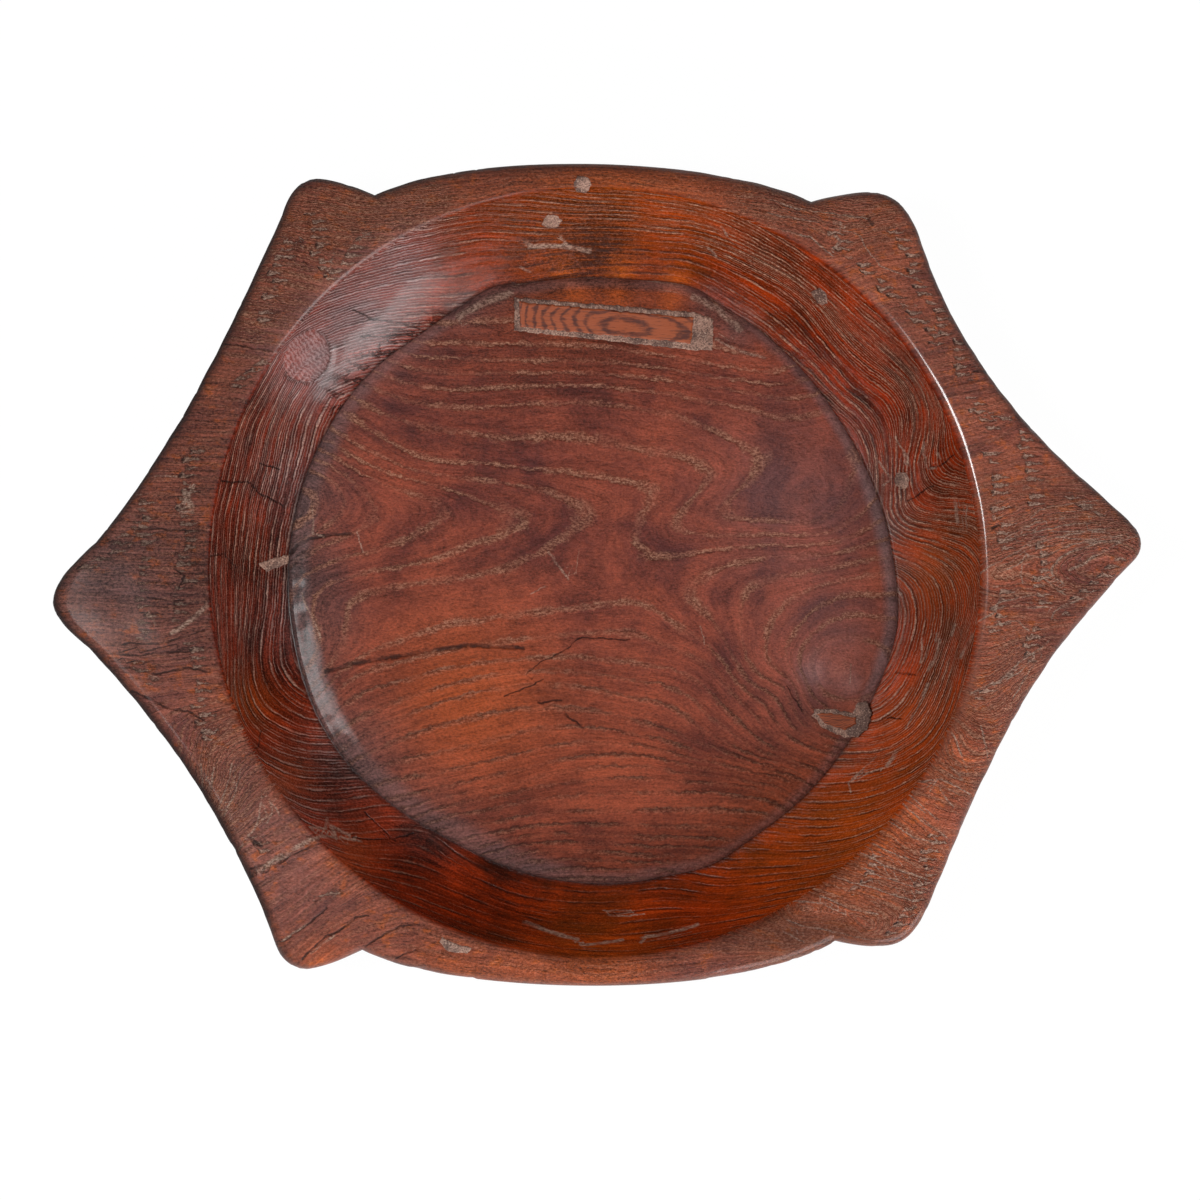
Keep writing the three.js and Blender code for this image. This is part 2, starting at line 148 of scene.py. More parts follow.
# Growth rings on the floor: guide lines in plan, each with its ring number
FLOOR_GRAIN = [
    (0.5, [(-60, 190), (20, 192), (70, 178)]),
    (1, [(-110, 171), (-60, 171), (-20, 170), (60, 160), (90, 153), (112, 150)]),
    (2, [(-125, 155), (-100, 157), (-85, 156), (-45, 157), (0, 156), (30, 151), (60, 146), (75, 142.5),
         (95, 139), (120, 137)]),
    (3, [(-112, 145.5), (-90, 145), (-60, 144), (0, 143.5), (15, 142), (35, 140), (55, 137), (80, 134),
         (100, 132), (128, 131)]),
    (4, [(-140, 147), (-125, 142), (-115, 140), (-100, 138.5), (-60, 138), (-30, 138), (0, 138.5),
         (20, 136.5), (35, 135.5), (55, 133.5), (62, 131.5), (75, 130), (90, 129), (102, 126),
         (112, 121)]),
    (5, [(-148, 136), (-140, 133), (-130, 129.5), (-120, 127), (-110, 125.5), (-95, 124.5),
         (-70, 125.5), (-50, 127.5), (-20, 128.5), (0, 129), (20, 126), (40, 124.5), (60, 121),
         (70, 118.5), (80, 116.5), (95, 114.5), (110, 112), (122, 107)]),
    (6, [(-152, 129), (-140, 123), (-130, 119), (-120, 116.5), (-110, 115), (-95, 114), (-75, 115),
         (-50, 117), (-20, 118), (0, 117), (10, 116), (30, 113), (38, 110), (52, 109), (60, 106),
         (70, 100.5), (80, 93), (88, 89), (100, 87.5), (106, 84), (110, 78), (112, 74.5), (108, 70.5),
         (100, 64), (88, 56), (80, 50), (76, 44), (81, 39), (90, 37), (105, 38), (130, 36), (150, 36)]),
    (5.5, [(92, 109), (98, 105.5), (104, 101.5), (112, 98.5), (122, 98), (135, 99.5), (147, 103),
           (158, 107)]),
    (7, [(-165, 118), (-155, 115), (-145, 110), (-135, 106), (-120, 103), (-105, 100.5), (-90, 99),
         (-82, 95), (-70, 93), (-55, 92), (-40, 93), (-20, 94.5), (-5, 92), (5, 90), (15, 88),
         (25, 84.5), (35, 80), (45, 80.5), (57, 79), (68, 76.5), (78, 74), (84, 69), (80, 62), (70, 56),
         (60, 49.5), (51, 44), (46, 38), (48, 32), (53, 29), (62, 28), (75, 27.5), (100, 29), (130, 29),
         (160, 32)]),
    (8, [(-172, 112), (-163, 110), (-157, 105), (-150, 98), (-140, 93), (-132, 87), (-126, 81),
         (-118, 77), (-108, 76), (-95, 75.5), (-80, 75.5), (-70, 74), (-55, 72), (-40, 71), (-25, 70.5),
         (-15, 68), (0, 67), (15, 65.5), (30, 63.5), (42, 61), (48, 59), (45, 54), (40, 49), (34, 42),
         (27, 38), (24, 34), (23, 28), (26, 23), (32, 19.5), (42, 16.5), (55, 16), (70, 19), (90, 22),
         (110, 22.5), (135, 22.5), (165, 26)]),
    (9, [(-178, 98), (-170, 93), (-160, 88), (-150, 83), (-140, 79), (-130, 73), (-122, 70), (-110, 67),
         (-95, 66), (-80, 66.5), (-65, 65), (-50, 62), (-40, 59.5), (-28, 56), (-17, 53), (-8, 49),
         (-4, 46), (-8, 43), (-15, 38), (-22, 33), (-28, 29), (-34, 24), (-44, 17), (-58, 10), (-78, 4),
         (-100, 1), (-120, -1), (-140, -3), (-150, -6), (-158, -11), (-163, -16), (-166, -24),
         (-167, -35), (-169, -45), (-173, -54), (-178, -63), (-183, -71)]),
    (10, [(-183, 92), (-176, 90), (-168, 84), (-160, 77), (-150, 72), (-140, 67.5), (-125, 65),
          (-115, 62.5), (-105, 60), (-98, 58), (-88, 55), (-78, 51), (-70, 49), (-58, 46), (-48, 44.5),
          (-42, 41.5), (-39, 38), (-43, 34), (-52, 31), (-62, 27), (-70, 24), (-80, 23), (-88, 21.5),
          (-95, 16), (-105, 9), (-118, 6), (-135, 4), (-155, 0), (-173, -3), (-186, -8), (-190, -16),
          (-186, -28), (-183, -40), (-184, -52), (-189, -64)]),
    (11, [(-186, 84), (-178, 81), (-170, 76), (-160, 70), (-150, 67.5), (-140, 65), (-128, 63),
          (-116, 60), (-107, 56), (-101, 51), (-101, 45.5), (-108, 41), (-115, 36.5), (-123, 30),
          (-132, 24), (-143, 18), (-160, 14), (-178, 8), (-193, 2)]),
    (12, [(-188, 79), (-178, 77), (-168, 71), (-160, 62.5), (-153, 55), (-149, 48.5), (-148, 42.5),
          (-152, 37.5), (-159, 31), (-172, 27), (-188, 20), (-198, 12)]),
    (13, [(-190, 72), (-182, 70), (-175, 64), (-170, 57), (-166, 50), (-168, 43.5), (-173, 38.5),
          (-182, 33), (-192, 25)]),
    (14, [(-196, 60), (-190, 55), (-187, 46), (-188, 38), (-195, 32)]),
    (8.5, [(-162, -56), (-157, -48), (-152, -40), (-147, -32), (-143, -26), (-137, -21), (-130, -18.5),
           (-118, -18), (-105, -17), (-95, -16), (-80, -16), (-60, -14), (-45, -10), (-30, -6)]),
    (8, [(-138, -50), (-128, -45.5), (-120, -41), (-110, -36), (-100, -32), (-90, -29.5), (-75, -28),
         (-60, -25.5), (-45, -24), (-30, -23), (-10, -21), (10, -19), (30, -18), (40, -21), (48, -28),
         (55, -35.5), (63, -40), (71, -44), (80, -54)]),
    (7, [(-174, -74), (-168, -68), (-157, -62), (-140, -57), (-120, -52.5), (-100, -49), (-85, -46.5),
         (-70, -43), (-60, -41), (-50, -39), (-30, -37), (-10, -35), (5, -34), (20, -33.5), (35, -38),
         (45, -43), (60, -50), (70, -54), (78, -59), (84, -66), (90, -74), (97, -81), (103, -88),
         (110, -96), (115, -102), (121, -108), (132, -115)]),
    (6, [(-174, -92), (-168, -86), (-158, -79), (-148, -74), (-135, -70), (-120, -66), (-105, -62),
         (-90, -59.5), (-75, -57), (-60, -56), (-45, -55), (-25, -53.5), (-10, -53), (0, -56),
         (15, -57), (30, -58), (45, -61), (55, -63), (63, -67), (70, -73), (80, -83), (88, -91),
         (97, -100), (112, -112)]),
    (5, [(-168, -103), (-158, -96), (-150, -91), (-135, -85), (-120, -79.5), (-105, -75), (-95, -72),
         (-85, -69.5), (-70, -67), (-50, -64), (-30, -63), (-10, -64.5), (10, -66.5), (20, -68),
         (40, -71), (50, -74), (58, -78), (65, -84), (73, -92), (84, -100), (95, -107), (106, -113),
         (120, -119), (137, -124)]),
    (4, [(-163, -109), (-150, -101), (-135, -94), (-120, -88), (-105, -82), (-90, -77), (-75, -72),
         (-60, -69), (-45, -67), (-30, -66.8), (-10, -69), (5, -70.5), (18, -74), (30, -78), (45, -80),
         (53, -83.5), (60, -89), (70, -96), (80, -104), (92, -111), (105, -119)]),
    (3, [(-152, -119), (-140, -112), (-128, -106.5), (-118, -102.5), (-105, -98.5), (-95, -95.5),
         (-80, -92.5), (-65, -90.5), (-50, -88.5), (-30, -87.8), (-10, -88.5), (0, -90), (15, -93),
         (30, -98), (45, -103), (60, -108), (75, -113), (95, -120), (112, -127)]),
    (2, [(-146, -126), (-135, -122), (-120, -119), (-108, -117), (-90, -113.5), (-70, -108),
         (-50, -102), (-30, -98), (-10, -98), (10, -100), (30, -104), (45, -108), (60, -113)]),
    (1, [(-141, -133), (-130, -132), (-120, -130.5), (-110, -129), (-95, -126), (-80, -122),
         (-65, -119), (-50, -116), (-35, -111.5), (-15, -109), (0, -107.8), (10, -107.5), (25, -110),
         (40, -112), (50, -116), (62, -121), (90, -127), (120, -131)]),
    (0, [(-128, -146), (-115, -141), (-105, -139.5), (-90, -137), (-75, -133.5), (-60, -131),
         (-45, -127), (-30, -122), (-15, -119.5), (0, -118), (30, -119), (60, -128)]),
    (-1, [(-120, -151), (-110, -148.5), (-95, -145), (-80, -141), (-60, -137), (-45, -133),
          (-30, -129.5), (-10, -125.5), (0, -123), (20, -122), (35, -122.5), (50, -124), (75, -128),
          (105, -133), (122, -137)]),
    (-2, [(-116, -156), (-100, -150.5), (-85, -147.5), (-70, -144), (-50, -140), (-30, -136), (0, -133),
          (40, -134), (75, -135)]),
    (-3, [(-108, -158), (-90, -155), (-70, -151), (-50, -146), (-35, -143), (-20, -142), (0, -141),
          (30, -139.5), (60, -139.5), (100, -143), (118, -148)]),
    (-4, [(-98, -166), (-80, -164), (-70, -162), (-55, -160), (-40, -158), (-20, -156.5), (0, -155),
          (20, -155), (50, -154), (85, -154), (95, -157), (112, -159)]),
    (-5, [(-78, -172), (-65, -169), (-50, -166), (-35, -163), (0, -162), (30, -163), (60, -165),
          (90, -166)]),
    (-6, [(-68, -175), (-50, -171), (-35, -169.5), (0, -169.5), (20, -169.5), (35, -172), (60, -172),
          (85, -171)]),
    (-7, [(-62, -179), (-40, -175), (-20, -174), (10, -175), (40, -177.5), (62, -176)]),
    (-8, [(-58, -182), (-50, -180.5), (-30, -179), (0, -181), (30, -183), (50, -183)]),
    (-9, [(-52, -187), (-20, -186), (0, -187), (30, -188), (50, -187)]),
    (-10, [(-38, -193), (-15, -192), (0, -191.5), (30, -192.5), (45, -191)]),
    (9, [(57, -10), (62, -5), (70, 0), (80, 6), (90, 11), (110, 15), (130, 17.5), (150, 18.5),
         (170, 22), (188, 26)]),
    (9, [(57, -10), (62, -15), (69, -20), (78, -28), (85, -38), (90, -50), (93, -57), (98, -66),
         (104, -72), (110, -74.5), (120, -73), (132, -71)]),
    (10, [(188, 14), (165, 8), (140, 3), (120, -1), (104, -4), (96, -10), (96, -20), (94, -35),
          (94, -50), (100, -62), (108, -69), (124, -70)]),
    (11, [(188, 5), (165, 0), (143, -5), (125, -13), (115, -28), (112, -45), (113, -58), (120, -67),
          (131, -68)]),
    (12, [(186, -11), (165, -9), (150, -15), (142, -22), (135, -33), (128, -45), (126, -56),
          (131, -67)]),
    (13, [(182, -24), (168, -23), (152, -30), (141, -38), (134, -48), (132, -60), (136, -70)]),
    (14, [(178, -42), (165, -39), (150, -40), (141, -47), (138, -60), (141, -76)]),
]

# Growth rings on the wall: guide lines over the direction in degrees and the way up the wall in
# millimetres. The count runs from the knot at 145 degrees once round to the same knot.
KNOT_DIRECTION = 145
WALL_GRAIN = [
    (9, [(154, 77), (160, 79), (164, 78), (168, 72), (170, 75), (172, 77.5), (175, 74), (180, 77),
         (187, 76)]),
    (8, [(155, 77), (160, 71), (165, 69), (168, 67), (172, 72), (175, 69), (180, 70), (188, 70),
         (196, 78)]),
    (7, [(153, 63), (155, 69), (157, 71), (160, 66), (163, 61), (168, 60), (171, 64), (175, 61),
         (180, 62), (187, 63), (194, 70), (198, 78)]),
    (6, [(154, 58), (157, 63), (160, 58), (165, 55), (168, 54), (172, 57), (176, 54), (180, 55),
         (186, 56), (191, 60), (195, 69), (199, 79)]),
    (5, [(155, 53), (157, 55), (160, 49), (163, 46), (168, 47), (171, 45), (174, 42), (177, 47),
         (180, 48), (185, 52), (190, 57), (193, 61), (196, 68), (199, 77), (202, 79), (206, 77)]),
    (4, [(155, 46), (157, 48), (160, 45), (163, 42), (168, 44), (172, 40.5), (175, 41), (180, 42),
         (185, 45), (190, 50), (193, 56), (196, 63), (199, 70), (202, 72), (205, 69), (208, 55),
         (211, 38), (214, 15)]),
    (3, [(157, 41), (160, 37), (163, 35), (168, 36), (172, 33), (176, 36), (180, 37), (187, 42),
         (191, 47), (194, 53), (198, 60), (202, 62), (205, 57), (208, 44), (210, 31), (212.5, 12)]),
    (2, [(156, 38), (159, 34), (162, 31.5), (165, 31), (170, 31), (173, 30), (180, 31), (186, 35),
         (190, 41), (194, 48), (197, 53), (201, 58), (204, 53), (207, 39), (210, 22), (211.5, 9)]),
    (1, [(157, 32), (159, 29), (162, 26), (165, 24), (169, 26), (172, 27), (180, 27), (184, 29),
         (188, 34), (192, 41), (196, 47), (199, 50), (201, 52), (204, 46), (207, 30), (210, 10)]),
    (0, [(151, 31), (155, 27), (158, 24), (162, 20), (168, 19), (175, 20), (180, 22), (186, 25),
         (190, 30), (194, 36), (197, 40), (200, 41), (202, 38), (205, 27), (208, 12), (209, 4)]),
    (-1, [(153, 22), (160, 15), (170, 13), (180, 14), (184, 16), (188, 21), (191, 26), (194, 29),
          (197, 31), (200, 30), (203, 22), (206, 10), (207.5, 4)]),
    (-2, [(155, 10), (165, 7), (180, 8), (186, 10), (190, 14), (192, 18), (195, 22), (198, 21),
          (201, 16), (204, 7)]),
    (-3, [(170, 1), (181, 4), (186, 6), (190, 9), (193, 12), (196, 14), (198.5, 11), (201, 4)]),
    (6, [(208.5, 78), (211, 67), (214, 47), (216.5, 27), (219, 9)]),
    (8, [(213, 79), (216, 70), (218.5, 55), (221, 36), (223.5, 12)]),
    (10, [(217, 79), (220, 68), (222.5, 53), (225.5, 34), (228, 14)]),
    (12, [(222.5, 79), (226, 66), (229, 50), (233, 30), (237, 10)]),
    (15, [(231, 79), (234, 67), (237, 58), (241, 49), (246, 43), (251, 44), (262, 46), (272, 47),
          (280, 50)]),
    (16, [(234, 78), (238, 68), (242, 61), (246, 58), (252, 57.5), (260, 58), (272, 59), (282, 63)]),
    (17, [(237, 79), (241, 72), (246, 67.5), (252, 67), (260, 68), (272, 69), (282, 73)]),
    (18, [(241, 80), (246, 76.5), (252, 75.5), (260, 76), (275, 78)]),
    (14, [(228.5, 79), (232, 66), (236, 50), (241, 39), (247, 35), (255, 35), (265, 36), (273, 34),
          (278, 31), (283, 34), (287, 41), (291, 49), (295, 58), (300, 74)]),
    (13, [(233, 44), (239, 28), (247, 26), (260, 26), (274, 23), (280, 24), (285, 30), (289, 38),
          (293, 46), (297, 56), (301, 68), (303, 78)]),
    (12, [(241, 16), (255, 17), (272, 14), (281, 15), (286, 21), (291, 32), (296, 46), (301, 60),
          (305, 77)]),
    (11, [(245, 7), (260, 8), (275, 5), (283, 8), (288, 16), (293, 28), (298, 42), (303, 60),
          (307, 79)]),
    (10, [(285, 3), (290, 12), (295, 25), (300, 40), (305, 60), (309, 79)]),
    (8, [(293, 3), (297, 14), (301, 27), (305, 42), (309, 60), (313, 79)]),
    (6, [(299.5, 3), (303, 15), (307, 32), (311, 52), (315, 68), (317.5, 79)]),
    (4, [(305, 4), (308.5, 20), (312, 37), (315.5, 54), (319, 69), (321.5, 79)]),
    (2, [(309.5, 4), (313, 20), (317, 42), (320, 57), (323, 70), (325.5, 79)]),
    (0, [(313.5, 4), (317, 22), (320.5, 40), (323.5, 55), (326.5, 68), (329, 78)]),
    (-2, [(319, 5), (322, 22), (325.5, 39), (328, 53), (330.5, 64), (333.5, 73), (338, 78)]),
    (-3, [(321, 6), (324, 22), (327, 45), (329, 54), (331, 62), (333, 66), (336, 69), (340, 68.5),
          (343, 67), (346, 66), (349, 67), (352, 72), (355, 77), (358, 75), (360, 71), (362, 62),
          (364, 48), (365.5, 33), (367.5, 15)]),
    (-4, [(324, 10), (327, 28), (329.5, 42), (332, 53), (334, 58), (337, 61.5), (340, 62), (345, 61),
          (349, 60.5), (352, 67), (355, 71), (357.5, 70), (360, 64), (362, 54), (364, 40), (366, 22)]),
    (-5, [(334, 52), (338, 56), (342, 56), (348, 57), (352, 61), (355, 65), (357, 64), (360, 57),
          (362, 47), (364, 31), (366, 14)]),
    (-6, [(327.5, 17), (331, 36), (335, 45.5), (338, 49), (342, 50), (346, 52.5), (349, 54),
          (352, 55.5), (355, 57), (358, 54), (360, 49), (362, 39), (364, 24)]),
    (-7, [(333, 34), (337, 43), (342, 44), (348, 46), (352, 49.5), (355, 50), (357.5, 47), (360, 42),
          (362, 32), (364, 16)]),
    (-8, [(330, 15), (334, 32), (338, 38), (343, 38.5), (348, 40), (352, 43), (355, 43.5), (358, 39),
          (360, 35), (362, 25), (364, 9)]),
    (-9, [(334, 22), (339, 31), (345, 32), (351, 35), (354, 36), (357, 33), (360, 29), (362.5, 17)]),
    (-10, [(333, 10), (338, 23), (345, 26), (350, 28), (354, 29), (357, 26), (360, 21), (362, 12)]),
    (-11, [(337, 11), (342, 17), (348, 20), (354, 20.5), (357, 18), (360, 14), (362, 7)]),
    (-12, [(340, 8), (347, 12), (354, 13), (358, 10)]),
    (-13, [(345, 4), (354, 5.5)]),
    (-1, [(363, 78), (365, 66), (366.5, 50), (368, 32), (369.5, 15)]),
    (1, [(366.5, 78), (367.5, 60), (369, 42), (370.5, 26), (372, 10)]),
    (3, [(369, 78), (370, 60), (371, 44), (372.5, 28)]),
    (6, [(371.5, 78), (372.5, 62), (374, 46), (376, 34), (379, 34), (381, 45), (383, 57), (386, 66),
         (390, 70.5), (394, 66), (398, 59), (402, 57.5), (420, 57), (430, 54), (440, 51), (450, 50.5),
         (457, 53), (462, 60), (467, 68), (472, 78)]),
    (9, [(374.5, 78), (376, 66), (379, 62), (382, 72), (385, 78)]),
    (-4, [(376, 3), (380, 9), (384, 15), (387, 18.5), (390, 19), (393, 17), (396, 12), (400, 9),
          (410, 7), (420, 6), (430, 4)]),
    (-3, [(375, 8), (380, 15), (384, 20), (387, 23), (390, 24), (393, 22), (396, 17), (400, 14),
          (410, 12.5), (420, 13), (430, 12), (440, 10), (455, 7), (466, 5), (472, 7), (475, 13),
          (480, 26), (485, 38), (490, 50), (495, 62), (499, 75)]),
    (-2, [(382, 18), (385, 24), (387, 27), (390, 28.5), (392, 27), (395, 22), (399, 19), (405, 17.5),
          (412, 19), (420, 20), (435, 17), (450, 14), (462, 12), (470, 14)]),
    (-1, [(380, 21), (384, 26), (387, 30), (390, 31.5), (393, 30), (397, 26), (403, 24), (409, 25),
          (412, 29), (420, 28), (430, 24), (440, 21), (450, 19), (460, 16), (466, 17), (470, 19),
          (473, 25), (476, 31), (480, 39), (484, 48), (488, 58), (491, 68), (493, 76)]),
    (0, [(379, 22), (384, 33), (386, 40), (388, 43), (391, 43), (393, 39), (396, 33), (400, 30),
         (407, 31), (411, 34), (415, 35), (420, 33), (430, 29), (440, 26), (450, 24.5)]),
    (1, [(378.5, 24), (381.5, 31), (384, 39), (386, 46), (388, 50), (391, 50), (394, 47), (398, 40),
         (402, 36), (407, 36), (412, 39), (420, 38.5), (430, 33), (440, 30), (450, 29), (457, 30),
         (463, 34), (468, 40), (473, 48), (478, 57), (483, 67), (487, 77)]),
    (2, [(383, 41), (385, 47), (387, 52), (390, 54), (392, 53), (396, 47), (400, 40), (405, 39.5),
         (410, 43), (420, 43), (430, 38), (440, 34.5), (450, 33.5)]),
    (3, [(382, 43), (385, 51), (387, 56), (390, 60), (393, 58), (396, 53), (400, 47), (404, 46),
         (410, 47), (420, 47), (430, 42.5), (440, 38.5), (450, 38), (457, 39), (462, 44), (467, 51),
         (472, 59), (477, 69), (481, 78)]),
    (5, [(383, 52), (385, 61), (387, 65), (390, 67), (393, 65), (397, 60), (402, 54), (410, 54),
         (420, 54), (430, 50), (440, 47), (450, 46), (457, 47.5), (460, 53), (465, 60), (470, 67),
         (475, 77)]),
    (7, [(383, 62), (387, 71), (390, 74), (394, 73), (398, 68), (403, 62), (410, 61), (420, 60),
         (430, 58), (440, 55), (450, 55), (456, 58), (461, 65), (466, 73)]),
    (9, [(395, 78), (399, 72), (404, 66), (410, 65), (420, 65), (430, 65), (440, 63), (450, 63),
         (455, 67), (460, 75)]),
    (11, [(400, 78), (404, 72), (410, 70), (420, 70), (430, 72), (440, 71), (450, 71), (455, 76)]),
]

# Marks on the floor and the rim, drawn in plan: half width in millimetres, then the way
FLOOR_CRACKS = [
    (1.7, [(-178, -62), (-165, -58), (-150, -54.5), (-138, -53), (-120, -50.5), (-100, -47), (-85, -45),
           (-70, -45.5), (-50, -46)]),
    (1.6, [(-203, 15), (-197, 21), (-190, 25), (-180, 27.5), (-165, 29)]),
    (0.8, [(-38, -82.5), (-25, -81)]),
    (0.9, [(-20, -91), (-13, -96)]),
    (0.5, [(-60, -78), (-48, -73), (-37, -68)]),
    (0.5, [(-46, -62), (-38, -55), (-28, -51), (-18, -45), (-13, -40), (0, -39.5), (20, -40)]),
    (0.6, [(134, -86), (130, -79), (126, -72)]),
]
FLOOR_SCRATCHES = [
    (0.8, [(-32, 16), (-28, 10), (-24, 5), (-20, 0)]),
    (0.4, [(-13, 17), (-14, 5)]),
    (0.8, [(-188, 44), (-187, 36), (-188, 29), (-182, 27)]),
    (0.7, [(-158, 29), (-155, 18)]),
    (0.5, [(68, -33), (70, -42)]),
    (0.5, [(-43, -10), (-36, -6)]),
    (0.5, [(168, -58), (167, -68)]),
    (0.7, [(-194, -12), (-190, -22), (-186, -31), (-183, -39)]),
    (3.0, [(-92, 174), (-76, 184), (-58, 191)]),
    (1.8, [(-56, 198), (-22, 203), (20, 203), (56, 197)]),
    (3.0, [(64, 188), (80, 181), (95, 167)]),
    (1.2, [(80, 160), (96, 152), (110, 148)]),
]

# Marks on the wall, over the direction in degrees and the way up in millimetres
WALL_CRACKS = [
    (0.8, [(179.2, 46), (177.5, 60), (178.5, 78)]),
    (0.7, [(167, 78), (166.5, 60), (165.5, 45), (166.5, 30), (167, 12)]),
    (0.6, [(162, 38), (161.5, 22)]),
    (0.7, [(132.5, 46), (131, 30), (128, 18), (125, 4)]),
    (0.8, [(134, 24), (131, 14), (127, 3)]),
    (0.6, [(18, 70), (17.4, 56), (17.6, 46)]),
    (0.6, [(14.8, 42), (14.2, 30), (13.8, 21)]),
    (0.6, [(335, 27), (334.5, 18)]),
    (0.7, [(343, 22), (342.5, 10)]),
    (0.6, [(208.5, 79), (207.5, 65), (206, 56)]),
    (0.9, [(228, 44), (231, 30), (235, 10)]),
    (0.8, [(226.5, 18), (233, 21)]),
]
WALL_SCRATCHES = [
    (2.4, [(101, 26), (96, 24), (91, 19.5)]),
    (1.5, [(101.5, 30), (100.5, 26)]),
    (1.2, [(95.5, 31), (94.5, 24)]),
    (2.8, [(267, 54), (263, 49), (259, 43.5)]),
    (2.0, [(274, 55), (271, 58), (268, 61)]),
    (2.6, [(286, 52), (281, 55), (278, 54)]),
    (1.5, [(278, 54), (277, 60)]),
    (1.1, [(278, 28), (273, 26)]),
    (0.9, [(276, 22), (272, 21)]),
    (2.5, [(350, 71), (348.5, 67), (347, 64)]),
    (2.3, [(349, 37), (346, 36), (344.5, 33)]),
    (1.8, [(341.5, 37), (340, 37)]),
    (0.9, [(339.5, 39), (334, 35)]),
    (2.6, [(329, 38), (327, 37)]),
    (0.8, [(326, 34), (324, 26), (321, 17), (320, 24)]),
    (0.9, [(327, 24), (324, 20), (321, 17)]),
    (2.0, [(351.5, 50), (350.5, 49)]),
    (1.7, [(350, 33.5), (349.5, 33.5)]),
    (1.3, [(349, 21), (345.5, 24)]),
    (2.2, [(11, 59), (8, 58)]),
    (1.2, [(9.5, 70), (8, 67), (7, 67)]),
    (1.6, [(19.2, 57), (18.7, 58)]),
    (1.6, [(21, 31), (20, 30)]),
    (0.9, [(24.5, 30), (22, 31), (20, 28)]),
    (1.0, [(21.5, 49), (20.5, 44), (19.5, 45), (18, 42), (17.3, 50)]),
    (1.0, [(22, 11), (20, 12), (18.5, 14), (18, 8)]),
    (1.3, [(103, 11), (102, 8)]),
    (1.3, [(70.5, 33), (69.5, 31)]),
    (1.2, [(69.8, 57), (69, 53)]),
    (1.8, [(227, 46), (224, 52), (226, 58)]),
    (1.2, [(224, 79), (225, 66), (226.5, 54), (229, 43)]),
    (1.2, [(222, 79), (224, 60), (223, 50)]),
]

# The oval knot in the upper left wall: direction, way up, and its half sizes in millimetres
WALL_KNOT = (143.2, 49.0, 17.0, 22.0)

# Knots in the floor: centre, half size, lift of the swelling
FLOOR_KNOTS = [((156, -66), 24, 0.8), ((-193, 40), 13, 0.6)]

